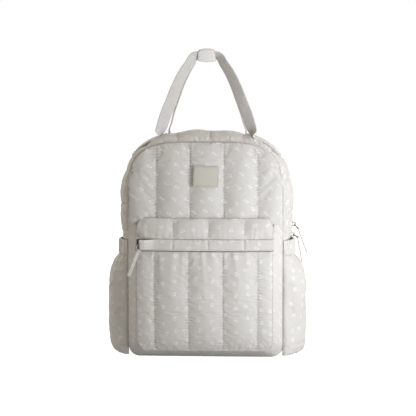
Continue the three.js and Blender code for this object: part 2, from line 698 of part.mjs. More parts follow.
function handLoop(name, side, spread, turnColumn) {
  const seat = 4 * GAP + WEBBING_THICKNESS / 2 + GUSSET_PUFF;
  const y0 = side * LOOP_SETBACK;
  const shareAt = (length) => 0.5 + length / RIDGE_LENGTH;
  const sewn = [1, 0.66, 0.33, 0].map((s) => {
    const { at, across, out } = gussetFrame(shareAt(spread + s * LOOP_SEWN), y0);
    return { at: at.clone().addScaledVector(out, seat), across };
  });
  const start = sewn.at(-1).at;
  const free = LOOP_CURVE.map(([out, up, ...turns]) => ({
    at: vec(lerp(LOOP_FLAT, start.x, out), lerp(y0, side * pinchedSetback, up), lerp(start.z, LOOP_TOP, up)),
    turn: -side * turns[turnColumn],
  }));
  const half = [...sewn, ...free];
  const other = half.map((k) => ({ ...k, at: vec(-k.at.x, k.at.y, k.at.z), mirrored: true })).reverse();
  const knots = [...half, ...other];
  const curve = new THREE.CatmullRomCurve3(knots.map((k) => k.at), false, "centripetal");
  const frames = knots.flatMap((k, i) => {
    const steps = i + 1 === knots.length || i === half.length - 1 ? [0] : [0, 0.5];
    return steps.map((s) => {
      const u = (i + s) / (knots.length - 1);
      const next = knots[Math.min(i + 1, knots.length - 1)];
      const along = curve.getTangent(u);
      const turned = (knot) => {
        if (knot.across) return knot.across.clone().multiply(vec(knot.mirrored ? -1 : 1, 1, 1));
        return vec(0, 1, 0).applyAxisAngle(along, degToRad(knot.turn));
      };
      const width = turned(k).lerp(turned(next), s);
      const sideways = width.addScaledVector(along, -width.dot(along)).normalize();
      return { at: curve.getPoint(u), side: sideways, up: vec(0, 0, 0).crossVectors(along, sideways) };
    });
  });
  add(name, loft(bandSection(WEBBING_WIDTH, WEBBING_THICKNESS, 0.6), frames), material.webbing);
}

// The wrap is a folded band of cloth closed round both loops at their top.
function handleWrap() {
  const turn = degToRad(PINCH_ANGLE);
  const rise = (WEBBING_WIDTH / 2) * Math.sin(turn) + (WEBBING_THICKNESS / 2) * Math.cos(turn) + WRAP_CLEARANCE;
  const wide = pinchedSetback + (WEBBING_WIDTH / 2) * Math.cos(turn) + (WEBBING_THICKNESS / 2) * Math.sin(turn) + WRAP_CLEARANCE;
  const narrow = LOOP_PINCH * 2 + WEBBING_THICKNESS;
  const outline = (grow) => {
    const [w, n, h] = [wide + grow, narrow + grow, rise + grow];
    const soft = 1.8;
    const lip = rise / 2 - grow * 0.35;
    const right = [[n - soft, -h], [n + 1, -h + soft], [w, lip], [w, h - soft], [w - soft, h]];
    return [...right, ...right.map(([y, z]) => [-y, z]).reverse()];
  };
  const shape = new THREE.Shape(outline(WRAP_WALL).map(([y, z]) => new THREE.Vector2(y, z)));
  shape.holes.push(new THREE.Path(outline(0).map(([y, z]) => new THREE.Vector2(y, z))));
  const geometry = new THREE.ExtrudeGeometry(shape, { depth: WRAP_LENGTH, bevelEnabled: false });
  // The shape is drawn in Y and Z, so it is turned to run along X.
  geometry.translate(0, 0, -WRAP_LENGTH / 2).rotateY(Math.PI / 2).rotateX(Math.PI / 2);
  const mesh = add("handle_wrap", geometry, material.webbing);
  mesh.position.set(0, 0, LOOP_TOP);
}

// Zip pulls
// A slider: its plate over the coil and the bridge that the ring hangs from. It travels along its own X,
// and its own Z points out of the bag.
function sliderGeometry() {
  const [l, w] = [SLIDER_LENGTH / 2, SLIDER_WIDTH / 2];
  const plate = loft(
    [[-l, -w * 0.55], [-l * 0.4, -w], [l, -w * 0.8], [l, w * 0.8], [-l * 0.4, w], [-l, w * 0.55]],
    [0, SLIDER_PLATE].map((z) => ({ at: vec(0, 0, z), side: vec(1, 0, 0), up: vec(0, 1, 0) })),
  );
  const sunk = SLIDER_PLATE / 2;
  const high = SLIDER_PLATE + BRIDGE_RISE;
  const bridge = block(vec(-l * 0.62, -BRIDGE_WIDTH / 2, sunk), vec(l * 0.62, BRIDGE_WIDTH / 2, high));
  const eye = block(vec(-l * 0.38, -BRIDGE_WIDTH, SLIDER_PLATE), vec(l * 0.38, BRIDGE_WIDTH, high - BRIDGE_BAR));
  return geometryOf(manifoldOf(bridge).subtract(manifoldOf(eye)).add(manifoldOf(plate)));
}

// A ring: a flat rectangle of wire that hangs down its own -Z from the middle of its upper bar.
function ringGeometry() {
  const [w, t] = [RING_WIDTH / 2, RING_WIRE];
  const outline = (grow) => {
    const [x, low, high] = [w - grow, t / 2 - RING_LENGTH + grow, t / 2 - grow];
    return [[-x, low], [x, low], [x, high], [-x, high]].map(([a, b]) => new THREE.Vector2(a, b));
  };
  const shape = new THREE.Shape(outline(0));
  shape.holes.push(new THREE.Path(outline(t)));
  return new THREE.ExtrudeGeometry(shape, { depth: RING_WIRE, bevelEnabled: false })
    .translate(0, 0, -RING_WIRE / 2)
    .rotateX(Math.PI / 2);
}

// A leather tab: a strip folded round the ring's lower bar, which lies along its own X at its origin.
function tabGeometry() {
  const hole = RING_WIRE * 0.71 + 0.6;
  const head = hole + 0.9;
  const shape = new THREE.Shape();
  const open = Math.acos(clamp(TAB_THICKNESS / 2 / head, -1, 1));
  shape.absarc(0, 0, head, -open, Math.PI + open, false);
  shape.lineTo(-TAB_THICKNESS / 2, -TAB_LENGTH);
  shape.lineTo(TAB_THICKNESS / 2, -TAB_LENGTH);
  shape.closePath();
  const eye = new THREE.Path();
  eye.absarc(0, 0, hole, 0, 2 * Math.PI, false);
  shape.holes.push(eye);
  return new THREE.ExtrudeGeometry(shape, { depth: TAB_WIDTH, bevelEnabled: false, curveSegments: 5 })
    .translate(0, 0, -TAB_WIDTH / 2)
    .rotateY(Math.PI / 2)
    .rotateX(Math.PI / 2);
}

// Sets a mesh at a place, with its own X and its own Z along two given directions.
function setAt(mesh, at, xAxis, zAxis) {
  const yAxis = vec(0, 0, 0).crossVectors(zAxis, xAxis);
  mesh.position.copy(at);
  mesh.quaternion.setFromRotationMatrix(new THREE.Matrix4().makeBasis(xAxis, yAxis, zAxis));
}

// A direction made square to another one.
const level = (wide, down) => wide.clone().addScaledVector(down, -wide.dot(down)).normalize();

// Height of the middle of the bridge's eye over the coil.
const EYE = SLIDER_PLATE + (BRIDGE_RISE - BRIDGE_BAR) / 2;

// A slider with its ring and tab. The ring's upper bar is at "hook", its width runs along "wide", and it hangs
// along "ringDown"; the tab hangs from the ring's lower bar along "tabDown".
function zipPull(zip, suffix, { at, travel, out, hook, wide, ringDown, tabDown }) {
  setAt(add(`${zip}_slider${suffix}`, sliderGeometry(), material.metal), at, travel, out);
  setAt(add(`${zip}_ring${suffix}`, ringGeometry(), material.metal), hook, level(wide, ringDown), ringDown.clone().negate());
  const bar = hook.clone().addScaledVector(ringDown, RING_LENGTH - RING_WIRE);
  setAt(add(`${zip}_tab${suffix}`, tabGeometry(), material.leather), bar, level(wide, tabDown), tabDown.clone().negate());
}

// A downward direction that leans out along a level one by an angle in degrees.
const leaning = (towards, degrees) =>
  towards.clone().multiplyScalar(Math.sin(degToRad(degrees))).addScaledVector(vec(0, 0, 1), -Math.cos(degToRad(degrees)));

// The two main sliders have met low on the right side. Their tabs hang over the cuff.
function mainPulls() {
  for (const [suffix, rise, ringLean, tabLean] of MAIN_SLIDERS) {
    const seat = gussetFrame(1 - rise / RIDGE_LENGTH, 0);
    const at = seat.at.clone().addScaledVector(seat.out, COIL_CREST + GAP);
    zipPull("main", suffix, {
      at,
      travel: seat.along.clone().negate(),
      out: seat.out,
      hook: at.clone().addScaledVector(seat.out, EYE + 2 * GAP),
      wide: vec(0, 1, 0),
      ringDown: leaning(vec(1, 0, 0), ringLean),
      tabDown: leaning(vec(1, 0, 0), tabLean),
    });
  }
}

// The pocket's zip runs level, so its ring hangs from the bridge turned almost flat, with one side in the eye.
function pocketPull() {
  const x = POCKET_SLIDER_PLACE;
  const front = Math.min(...[-0.6, 0, 0.6].map((s) => pocketZipBack(x + s * SLIDER_LENGTH)));
  const at = vec(x, front - ZIP_TAPE - COIL_HEIGHT - GAP, POCKET_ZIP_MIDDLE);
  const turn = degToRad(57);
  const wide = vec(-Math.sin(turn), -Math.cos(turn), 0);
  const ringDown = leaning(vec(-0.75, -0.66, 0), 18);
  const hook = at.clone().add(vec(0, -EYE, 0)).addScaledVector(level(wide, ringDown), (RING_WIDTH - RING_WIRE) / 2);
  hook.addScaledVector(ringDown, -(BRIDGE_WIDTH / 2 + 2 * GAP + RING_WIRE / 2));
  zipPull("pocket", "", {
    at,
    travel: vec(1, 0, 0),
    out: vec(0, -1, 0),
    hook,
    wide,
    ringDown,
    tabDown: leaning(vec(-0.97, -0.24, 0), 22),
  });
}

// Shoulder straps
// Each strap from its sewn top to its end: share of its length, of its bow off the back, and of its spread.
const STRAP_CURVE = [
  // length share, bow share, spread share
  [0, 0, 0],
  [0.08, 0, 0.02],
  [0.2, 0.5, 0.1],
  [0.4, 0.95, 0.3],
  [0.65, 1, 0.58],
  [0.85, 0.75, 0.84],
  [1, 0.5, 1],
];

// Where the middle of a band lies when it rests on the back panel, over the highest place under its width.
const restingOnBack = (x, z, width, thickness) =>
  Math.max(...[-0.5, 0, 0.5].map((s) => backFace(x + s * width, z))) + 3 * GAP + thickness / 2;

function strapPath(side) {
  return STRAP_CURVE.map(([down, bow, spread]) => {
    const x = side * lerp(STRAP_TOP_SPREAD, STRAP_END_SPREAD, spread);
    const z = lerp(STRAP_TOP, STRAP_END, down);
    return vec(x, restingOnBack(x, z, STRAP_WIDTH, STRAP_THICKNESS) + STRAP_BOW * bow, z);
  });
}

// Frames along a run of points for a band that faces backwards.
function bandFrames(points, count) {
  const curve = new THREE.CatmullRomCurve3(points, false, "centripetal");
  return range(count).map((u) => {
    const along = curve.getTangent(u);
    const sideways = vec(1, 0, 0).addScaledVector(along, -along.x).normalize();
    return { at: curve.getPoint(u), side: sideways, up: vec(0, 0, 0).crossVectors(along, sideways) };
  });
}

function shoulderStraps() {
  for (const [word, side] of [["left", -1], ["right", 1]]) {
    const frames = bandFrames(strapPath(side), 14);
    add(`shoulder_strap_${word}`, loft(bandSection(STRAP_WIDTH, STRAP_THICKNESS, 3), frames), material.cloth);
    const end = frames.at(-1);
    const footX = side * STRAP_WEBBING_SPREAD;
    const footY = restingOnBack(footX, STRAP_WEBBING_FOOT, STRAP_WEBBING_WIDTH, WEBBING_THICKNESS) - GAP;
    const foot = vec(footX, footY, STRAP_WEBBING_FOOT);
    const down = foot.clone().sub(end.at).normalize();
    const sideways = vec(1, 0, 0).addScaledVector(down, -down.x).normalize();
    const adjuster = add(`strap_adjuster_${word}`, adjusterGeometry(), material.plastic);
    const clear = STRAP_THICKNESS / 2 + GAP;
    const middle = end.at.clone().addScaledVector(down, clear + ADJUSTER_LENGTH / 2);
    setAt(adjuster, middle, sideways, vec(0, 0, 0).crossVectors(sideways, down.clone().negate()));
    const from = middle.clone().addScaledVector(down, ADJUSTER_LENGTH / 2 + 3 * GAP);
    const flat = foot.clone().add(vec(side * 0.3 * STRAP_WEBBING_TAIL, 0, -STRAP_WEBBING_TAIL));
    const run = bandFrames([from, from.clone().lerp(foot, 0.5).add(vec(0, -1.5, 0)), foot, flat], 6);
    add(`strap_webbing_${word}`, loft(bandSection(STRAP_WEBBING_WIDTH, WEBBING_THICKNESS, 0.6), run), material.webbing);
  }
}

// A ladder-lock adjuster: a moulded frame with two slots, round which the webbing turns.
function adjusterGeometry() {
  const [w, l] = [ADJUSTER_WIDTH / 2, ADJUSTER_LENGTH / 2];
  const box = (x0, y0, x1, y1) => [[x0, y0], [x1, y0], [x1, y1], [x0, y1]].map(([x, y]) => new THREE.Vector2(x, y));
  const shape = new THREE.Shape(box(-w, -l, w, l));
  const inner = w - ADJUSTER_BAR;
  for (const side of [-1, 1]) {
    const [near, far] = [side * ADJUSTER_BAR * 0.5, side * (l - ADJUSTER_BAR)];
    shape.holes.push(new THREE.Path(box(-inner, Math.min(near, far), inner, Math.max(near, far))));
  }
  return new THREE.ExtrudeGeometry(shape, { depth: ADJUSTER_THICKNESS, bevelEnabled: false }).translate(0, 0, -ADJUSTER_THICKNESS / 2);
}

frontPanel();
backPanel();
zipGussets();
sideGussets();
basePanel();
mainZip();
pocketPieces();
pocketFlap();
pocketZip();
pocketGusset();
sidePockets();
pocketCuffs();
label();
handLoop("hand_loop_front", -1, FRONT_LOOP_SPREAD, 0);
handLoop("hand_loop_back", 1, BACK_LOOP_SPREAD, 1);
handleWrap();
mainPulls();
pocketPull();
shoulderStraps();

export default bag;
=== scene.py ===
"""A quilted cotton puffer backpack standing on a pale floor, dressed piece by piece round its frame."""
import math

import bmesh
import bpy
import numpy as np
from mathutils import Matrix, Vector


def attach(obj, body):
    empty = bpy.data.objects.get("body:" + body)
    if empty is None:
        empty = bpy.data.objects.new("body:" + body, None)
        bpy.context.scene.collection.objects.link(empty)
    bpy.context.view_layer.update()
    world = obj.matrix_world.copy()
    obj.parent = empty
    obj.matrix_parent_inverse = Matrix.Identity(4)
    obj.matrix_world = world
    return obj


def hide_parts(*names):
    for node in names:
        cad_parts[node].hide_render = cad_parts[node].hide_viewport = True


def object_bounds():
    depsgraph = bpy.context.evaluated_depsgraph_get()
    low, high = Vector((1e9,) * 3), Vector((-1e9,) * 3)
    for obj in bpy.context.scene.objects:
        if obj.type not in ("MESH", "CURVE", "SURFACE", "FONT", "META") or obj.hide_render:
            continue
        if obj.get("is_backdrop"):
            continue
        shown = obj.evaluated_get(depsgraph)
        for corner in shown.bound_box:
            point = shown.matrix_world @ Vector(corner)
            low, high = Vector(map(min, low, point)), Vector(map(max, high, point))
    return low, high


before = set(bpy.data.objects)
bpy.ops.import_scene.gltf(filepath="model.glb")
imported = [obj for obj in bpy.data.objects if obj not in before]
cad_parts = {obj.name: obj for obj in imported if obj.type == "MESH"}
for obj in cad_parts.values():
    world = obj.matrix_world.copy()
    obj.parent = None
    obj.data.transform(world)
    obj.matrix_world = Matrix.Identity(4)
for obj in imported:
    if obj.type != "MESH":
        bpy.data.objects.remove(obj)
cad_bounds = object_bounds()
MM = 0.001

# Main front panel: printed cotton over wadding, quilted in upright channels about 58 mm wide and sewn all
# round to the gusset. The thread draws the cloth in, so each seam is a groove with small puckers across it.
SEAM_WIDTH, SEAM_HEIGHT, SEAM_DEPTH = 265, 368.5, 100
SHOULDER_RISE, SHOULDER_SQUARENESS, BASE_CORNER = 118.5, 4, 20
HALF_WIDTH, HALF_DEPTH = SEAM_WIDTH / 2, SEAM_DEPTH / 2
SHOULDER_START = SEAM_HEIGHT - SHOULDER_RISE
GAP, WALL, PANEL_CROWN = 0.3, 4, 10
QUILT_PITCH, QUILT_SHIFT, QUILT_PUFF = 57.6, 2.7, 6
POCKET_TOP = 240
CLOTH_STEP = 2.6

COTTON_GROUND = "#CAC6C0"
COTTON_SHADE = "#C2BDB6"
PRINT_WHITE = "#E9E6E1"
HEART_SIZE = 2.8 * MM


def seam_top(x):
    """Height of the front seam: a superellipse shoulder over straight sides."""
    share = 1 - np.clip(np.abs(x) / HALF_WIDTH, 0, 1) ** SHOULDER_SQUARENESS
    return SHOULDER_START + SHOULDER_RISE * share ** (1 / SHOULDER_SQUARENESS)


def seam_floor(x):
    """Height of the panel's lower edge: level, with a quarter circle at each corner."""
    over = np.clip((np.abs(x) - HALF_WIDTH + BASE_CORNER) / BASE_CORNER, 0, 1)
    return BASE_CORNER * (1 - np.sqrt(1 - over**2))


def crown(across, up):
    """How far a panel is crowned: (1 - |across|^2.5)(1 - |2 up - 1|^3), 0 at its edges, 1 in its middle."""
    return (1 - np.abs(np.clip(across, -1, 1)) ** 2.5) * (1 - np.abs(2 * np.clip(up, 0, 1) - 1) ** 3)


def front_face(x, z):
    """Depth of the front panel's outer face without its puffs."""
    up = (z - seam_floor(x)) / (seam_top(x) - seam_floor(x))
    return -(HALF_DEPTH + GAP + WALL + PANEL_CROWN * crown(x / HALF_WIDTH, up))


def puff(place, pitch, shift):
    """A channel's section: (1 - |t|^2.4)^0.85, where t runs from -1 on one seam to 1 on the next."""
    share = (place - shift) / pitch + 0.5
    t = 2 * (share - np.floor(share)) - 1
    return np.clip(1 - np.abs(t) ** 2.4, 0, 1) ** 0.85


def seams_in(half, pitch, shift):
    """Places of the quilting seams between the two edges of a piece."""
    places = shift + (np.arange(-12, 12) + 0.5) * pitch
    return places[np.abs(places) < half - pitch * 0.12]


def places_between(ends, step):
    """Places from the first end to the last, evenly spaced in each stretch, with every end among them."""
    stretches = [np.linspace(a, b, max(2, round((b - a) / step)) + 1)[:-1] for a, b in zip(ends, ends[1:])]
    return np.append(np.concatenate(stretches), ends[-1])


def noise(u, v, size, seed):
    """Smooth noise from -1 to 1: random values on a lattice of this size, with smoothsteps between them."""
    lattice = np.random.default_rng(seed).uniform(-1, 1, (64, 64))
    p, q = np.broadcast_arrays(u / size, v / size)
    i, j = np.floor(p).astype(int), np.floor(q).astype(int)
    a, b = p - i, q - j
    a, b = a * a * (3 - 2 * a), b * b * (3 - 2 * b)
    near, far = lattice[i % 64, j % 64], lattice[i % 64, (j + 1) % 64]
    next_near, next_far = lattice[(i + 1) % 64, j % 64], lattice[(i + 1) % 64, (j + 1) % 64]
    return (1 - b) * ((1 - a) * near + a * next_near) + b * ((1 - a) * far + a * next_far)


def puckers(distance, along, seed, reach=9.0, height=0.8, pitch=5.0):
    """Ripples across a seam: they rise from it, fade over their reach, and are uneven along it."""
    wander = along + 1.3 * noise(along, distance * 0.2, 14, seed)
    ripple = np.cos(2 * np.pi * wander / pitch) * (0.65 + 0.35 * noise(along, 0 * along, 9, seed + 1))
    deep = np.clip(noise(along, 0 * along, 11, seed + 2), 0, 1)
    fade = distance / 1.5 * np.exp(1 - distance / 1.5) + 0.15 * np.exp(-distance / (reach * (0.4 + deep)))
    return height * ripple * fade * np.clip(distance / 1.2, 0, 1)


def nearest_seam(places, seams):
    """Distance from each place to the seam nearest to it."""
    return np.min(np.abs(places[..., None] - np.asarray(seams)), axis=-1)


def doubled(run):
    """Twice as many points on a run: each new one is (9(b + c) - (a + d)) / 16 of its four neighbours."""
    ends = np.concatenate([[2 * run[0] - run[1]], run, [2 * run[-1] - run[-2]]])
    made = np.empty((2 * len(run) - 1, *run.shape[1:]))
    made[::2], made[1::2] = run, (9 * (ends[1:-2] + ends[2:-1]) - (ends[:-3] + ends[3:])) / 16
    return made


def finer(grid):
    """Twice as many rows and columns."""
    return np.moveaxis(doubled(np.moveaxis(doubled(grid), 1, 0)), 0, 1)


def normals_of(grid):
    """Unit normals of a grid: the cross product of its slopes along the columns and along the rows."""
    across, along = np.gradient(grid, axis=1), np.gradient(grid, axis=0)
    normal = np.cross(across, along)
    return normal / np.maximum(np.linalg.norm(normal, axis=-1, keepdims=True), 1e-9)


def quads(rows, columns, start=0):
    """Faces of a grid of points, row by row."""
    i, j = np.meshgrid(np.arange(rows - 1), np.arange(columns - 1), indexing="ij")
    a = start + i * columns + j
    return np.stack([a, a + 1, a + columns + 1, a + columns], axis=-1).reshape(-1, 4)


def piece_from(name, points, faces, flat=None, caps=()):
    """A mesh object from points in millimetres, its faces turned outwards, with a place on the flat cloth."""
    points, faces = np.asarray(points, float), np.asarray(faces)
    a, b, c, d = (points[faces[:, k]] for k in range(4))
    volume = np.sum(a * np.cross(b, c)) + np.sum(a * np.cross(c, d))
    if volume < 0:
        faces, caps = faces[:, ::-1], [cap[::-1] for cap in caps]
    mesh = bpy.data.meshes.new(name)
    mesh.from_pydata(points * MM, [], [*faces.tolist(), *caps])
    if flat is not None:
        layer = mesh.uv_layers.new(name="cloth")
        corners = np.empty(len(mesh.loops), dtype=np.int32)
        mesh.loops.foreach_get("vertex_index", corners)
        layer.data.foreach_set("uv", (np.asarray(flat, float) * MM)[corners].astype(np.float32).ravel())
    mesh.polygons.foreach_set("use_smooth", np.ones(len(mesh.polygons), dtype=bool))
    mesh.update()
    made = bpy.data.objects.new(name, mesh)
    bpy.context.scene.collection.objects.link(made)
    return made


def shell(name, outer, inner, flat):
    """A closed sheet of cloth: its outer grid, its inner grid, and a rim that joins their four edges."""
    rows, columns = outer.shape[:2]
    count = rows * columns
    index = np.arange(count).reshape(rows, columns)
    loop = np.concatenate([index[0, :-1], index[:-1, -1], index[-1, :0:-1], index[:0:-1, 0]])
    after = np.roll(loop, -1)
    rim = np.stack([after, loop, loop + count, after + count], axis=-1)
    faces = np.concatenate([quads(rows, columns), quads(rows, columns, count)[:, ::-1], rim])
    points = np.concatenate([outer.reshape(-1, 3), inner.reshape(-1, 3)])
    places = flat.reshape(-1, 2)
    return piece_from(name, points, faces, np.concatenate([places, places]))


def stuffed(points, held, swell, slack, cap, frames=16):
    """Where cloth settles that is held at its seams and blown out by its wadding, as moves from its start."""
    rows, columns = points.shape[:2]
    cloth = piece_from("settling_cloth", points.reshape(-1, 3), quads(rows, columns))
    group = cloth.vertex_groups.new(name="held")
    group.add(np.flatnonzero(held.ravel()).tolist(), 1.0, "REPLACE")
    settle = cloth.modifiers.new("settle", "CLOTH")
    settle.settings.vertex_group_mass = "held"
    settle.settings.mass = 0.02
    settle.settings.quality = 5
    settle.settings.tension_stiffness = settle.settings.compression_stiffness = 20
    settle.settings.bending_stiffness = 0.05
    settle.settings.use_pressure = True
    settle.settings.uniform_pressure_force = swell
    settle.settings.shrink_min = -slack
    settle.settings.effector_weights.gravity = 0
    settle.point_cache.frame_start, settle.point_cache.frame_end = 1, frames
    for at in range(1, frames + 1):
        bpy.context.scene.frame_set(at)
    settled = cloth.evaluated_get(bpy.context.evaluated_depsgraph_get()).data
    places = np.empty(rows * columns * 3)
    settled.vertices.foreach_get("co", places)
    bpy.data.objects.remove(cloth, do_unlink=True)
    bpy.context.scene.frame_set(1)
    moves = places.reshape(rows, columns, 3) / MM - points
    reach = np.linalg.norm(moves, axis=-1, keepdims=True)
    return moves * np.minimum(1, cap / np.maximum(reach, 1e-9))


def linear(colour):
    """A linear colour from an sRGB hex value."""
    values = np.array([int(colour[k : k + 2], 16) / 255 for k in (1, 3, 5)])
    made = np.where(values <= 0.04045, values / 12.92, ((values + 0.055) / 1.055) ** 2.4)
    return (*made.tolist(), 1.0)


def node(tree, kind, inputs=(), **settings):
    """Adds a node with its settings. Its inputs are values to set, or sockets to link."""
    made = tree.nodes.new(kind)
    for name, value in settings.items():
        setattr(made, name, value)
    for name, value in dict(inputs).items():
        if isinstance(value, bpy.types.NodeSocket):
            tree.links.new(value, made.inputs[name])
        else:
            made.inputs[name].default_value = value
    return made


def new_material(name, **sockets):
    """A material with one shader, whose sockets are set by name."""
    made = bpy.data.materials.new(name)
    made.use_nodes = True
    shader = made.node_tree.nodes["Principled BSDF"]
    for socket, value in sockets.items():
        shader.inputs[socket.replace("_", " ")].default_value = value
    return made, made.node_tree, shader


def clouded(name, dark, light, cloud, flat=False, **sockets):
    """A material whose colour drifts between two shades with soft noise, on its cloth if flat.

    Returns the material, its tree and shader, the place that its patterns read, and the noise.
    """
    made, tree, shader = new_material(name, **sockets)
    if flat:
        place = node(tree, "ShaderNodeUVMap", uv_map="cloth").outputs["UV"]
    else:
        place = node(tree, "ShaderNodeTexCoord").outputs["Object"]
    drift = node(tree, "ShaderNodeTexNoise", {"Vector": place, **cloud}).outputs[0]
    tint = node(tree, "ShaderNodeMix", {"Factor": drift, 6: linear(dark), 7: linear(light)}, data_type="RGBA")
    tree.links.new(tint.outputs[2], shader.inputs["Base Color"])
    return made, tree, shader, place, drift


def heart_print(tree, place):
    """A scatter of small outlined hearts, one to a 20 mm cell: 1 on a line of one, 0 elsewhere.

    In a heart's own turned frame its line is where sqrt(x^2 + (1.2 y - sqrt|x|)^2) is from 0.72 to 1.14.
    """
    wobble = node(tree, "ShaderNodeTexNoise", {"Vector": place, "Scale": 160.0, "Detail": 1.0})
    drawn = {0: wobble.outputs["Color"], 1: (0.0022,) * 3, 2: (-0.0011,) * 3}
    drawn = node(tree, "ShaderNodeVectorMath", drawn, operation="MULTIPLY_ADD").outputs[0]
    drawn = node(tree, "ShaderNodeVectorMath", {0: place, 1: drawn}, operation="ADD").outputs[0]
    cells = node(
        tree, "ShaderNodeTexVoronoi", {"Vector": place, "Scale": 49.0, "Randomness": 0.55},
        voronoi_dimensions="2D",
    )
    local = node(tree, "ShaderNodeVectorMath", {0: drawn, 1: cells.outputs["Position"]}, operation="SUBTRACT")
    chance = node(tree, "ShaderNodeSeparateColor", {"Color": cells.outputs["Color"]}).outputs[0]
    turn = node(tree, "ShaderNodeMath", {0: chance, 1: 6.28}, operation="MULTIPLY").outputs[0]
    turned = {"Vector": local.outputs[0], "Angle": turn}
    turned = node(tree, "ShaderNodeVectorRotate", turned, rotation_type="Z_AXIS").outputs[0]
    sized = node(tree, "ShaderNodeVectorMath", {0: turned, "Scale": 1 / HEART_SIZE}, operation="SCALE")
    x, y, _ = node(tree, "ShaderNodeSeparateXYZ", {"Vector": sized.outputs[0]}).outputs
    bend = node(tree, "ShaderNodeMath", {0: x}, operation="ABSOLUTE").outputs[0]
    bend = node(tree, "ShaderNodeMath", {0: bend}, operation="SQRT").outputs[0]
    lobe = node(tree, "ShaderNodeMath", {0: y, 1: -1.2, 2: bend}, operation="MULTIPLY_ADD").outputs[0]
    spot = node(tree, "ShaderNodeCombineXYZ", {0: x, 1: lobe}).outputs[0]
    size = node(tree, "ShaderNodeVectorMath", {0: spot}, operation="LENGTH").outputs["Value"]
    return node(tree, "ShaderNodeMath", {0: size, 1: 0.93, 2: 0.21}, operation="COMPARE").outputs[0]


def printed_cotton():
    """Cotton poplin, plain woven and screen printed: matt, with a faint nap and small pale hearts.

    Its threads are about 0.3 mm apart, too fine to show, so the weave is drawn at 1.1 mm.
    """
    made, tree, shader, place, nap = clouded(
        "printed_cotton_poplin", COTTON_GROUND, COTTON_SHADE,
        {"Scale": 26.0, "Detail": 4.0, "Roughness": 0.6}, flat=True,
        Roughness=0.88, Sheen_Weight=0.25, Sheen_Roughness=0.5, Specular_IOR_Level=0.2,
    )
    ground = shader.inputs["Base Color"].links[0].from_socket
    worn = node(tree, "ShaderNodeTexNoise", {"Vector": place, "Scale": 700.0, "Detail": 2.0}).outputs[0]
    ink = node(tree, "ShaderNodeMath", {0: worn, 1: 0.5, 2: 0.45}, operation="MULTIPLY_ADD").outputs[0]
    ink = node(tree, "ShaderNodeMath", {0: ink, 1: heart_print(tree, place)}, operation="MULTIPLY").outputs[0]
    inked = node(tree, "ShaderNodeMix", {"Factor": ink, 6: ground, 7: linear(PRINT_WHITE)}, data_type="RGBA")
    tree.links.new(inked.outputs[2], shader.inputs["Base Color"])
    threads = {"Vector": place, "Scale": math.pi / 10 / 0.0011, "Distortion": 0.6}
    warp, weft = (
        node(tree, "ShaderNodeTexWave", threads, bands_direction=way).outputs[1] for way in ("X", "Y")
    )
    relief = node(tree, "ShaderNodeMath", {0: nap, 1: 1.5}, operation="MULTIPLY").outputs[0]
    relief = node(tree, "ShaderNodeMath", {0: warp, 1: weft, 2: relief}, operation="MULTIPLY_ADD").outputs[0]
    bump = node(tree, "ShaderNodeBump", {"Height": relief, "Strength": 0.25, "Distance": 0.0003})
    tree.links.new(bump.outputs[0], shader.inputs["Normal"])
    return made


COTTON = printed_cotton()


def dressed(piece, nodes, material):
    """Gives a piece its material, its body and the nodes that it stands for."""
    piece.data.materials.clear()
    piece.data.materials.append(material)
    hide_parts(*nodes)
    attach(piece, "root")
    return piece


def cloth_places(surface):
    """Each point's place on the flat cloth: its length along its row and up its column, in millimetres."""
    lengths = [
        np.cumsum(np.linalg.norm(np.diff(surface, axis=k, prepend=surface.take([0], k)), axis=-1), axis=k)
        for k in (1, 0)
    ]
    return np.stack(lengths, axis=-1)


def quilted(name, nodes, across, along, surface, form, relief, shift, held=None, centre=(0, 0, 150),
            thick=3.8, swell=3, slack=0.007, cap=3, calm=None):
    """A sewn piece: its surface and stuffed form, settled as cloth where it isn't held, then its puckers.

    Returns what gives a place and a normal on its outer face for any place on its cloth.
    """
    def stood(u, v):
        """The piece's surface, and its normals on the side away from its middle."""
        base = np.stack(np.broadcast_arrays(*surface(u, v)), axis=-1)
        way = normals_of(base)
        return base, way * np.sign(np.sum(way * (base - centre)))

    u, v = np.meshgrid(across, along)
    base, out = stood(u, v)
    moves = np.zeros_like(base)
    if held is not None:
        moves = stuffed(base + out * form(u, v)[..., None], held(u, v), swell, slack, cap)
    u, v = finer(u[..., None])[..., 0], finer(v[..., None])[..., 0]
    base, out = stood(u, v)
    settled = finer(moves) * (1 if calm is None else calm(u, v)[..., None])
    outer = base + settled + out * (form(u, v) + relief(u, v))[..., None]
    inner = base - out * thick
    flat = cloth_places(base) + shift
    dressed(shell(name, outer, inner, flat), nodes, COTTON)
    facing = normals_of(outer)
    both = np.concatenate([outer, facing * np.sign(np.sum(facing * out))], axis=-1)

    def on(at_u, at_v):
        """A place and a normal on the outer face, blended from the grid's four nearest points."""
        i = np.interp(at_v, v[:, 0], np.arange(len(v)))
        j = np.interp(at_u, u[0], np.arange(len(u[0])))
        row, column = np.minimum(i.astype(int), len(v) - 2), np.minimum(j.astype(int), len(u[0]) - 2)
        a, b = (i - row)[..., None], (j - column)[..., None]
        low, high = ((1 - b) * both[k, column] + b * both[k, column + 1] for k in (row, row + 1))
        found = (1 - a) * low + a * high
        return found[..., :3], found[..., 3:]

    return on


def edge_roll(distance, radius):
    """How far a padded edge has turned under: a quarter circle over its radius, nothing beyond it."""
    short = np.clip(1 - distance / radius, 0, 1)
    return radius * (1 - np.sqrt(1 - short**2 * 0.98))


panel_seams = seams_in(HALF_WIDTH, QUILT_PITCH, QUILT_SHIFT)
PANEL_ROWS = np.concatenate([np.linspace(0, 0.94, 22)[:-1], np.linspace(0.94, 2, 60)])
LABEL_AT, LABEL_SIZE, LABEL_TILT, LABEL_THICKNESS = (2, 310), (44, 35), -2.5, 0.7


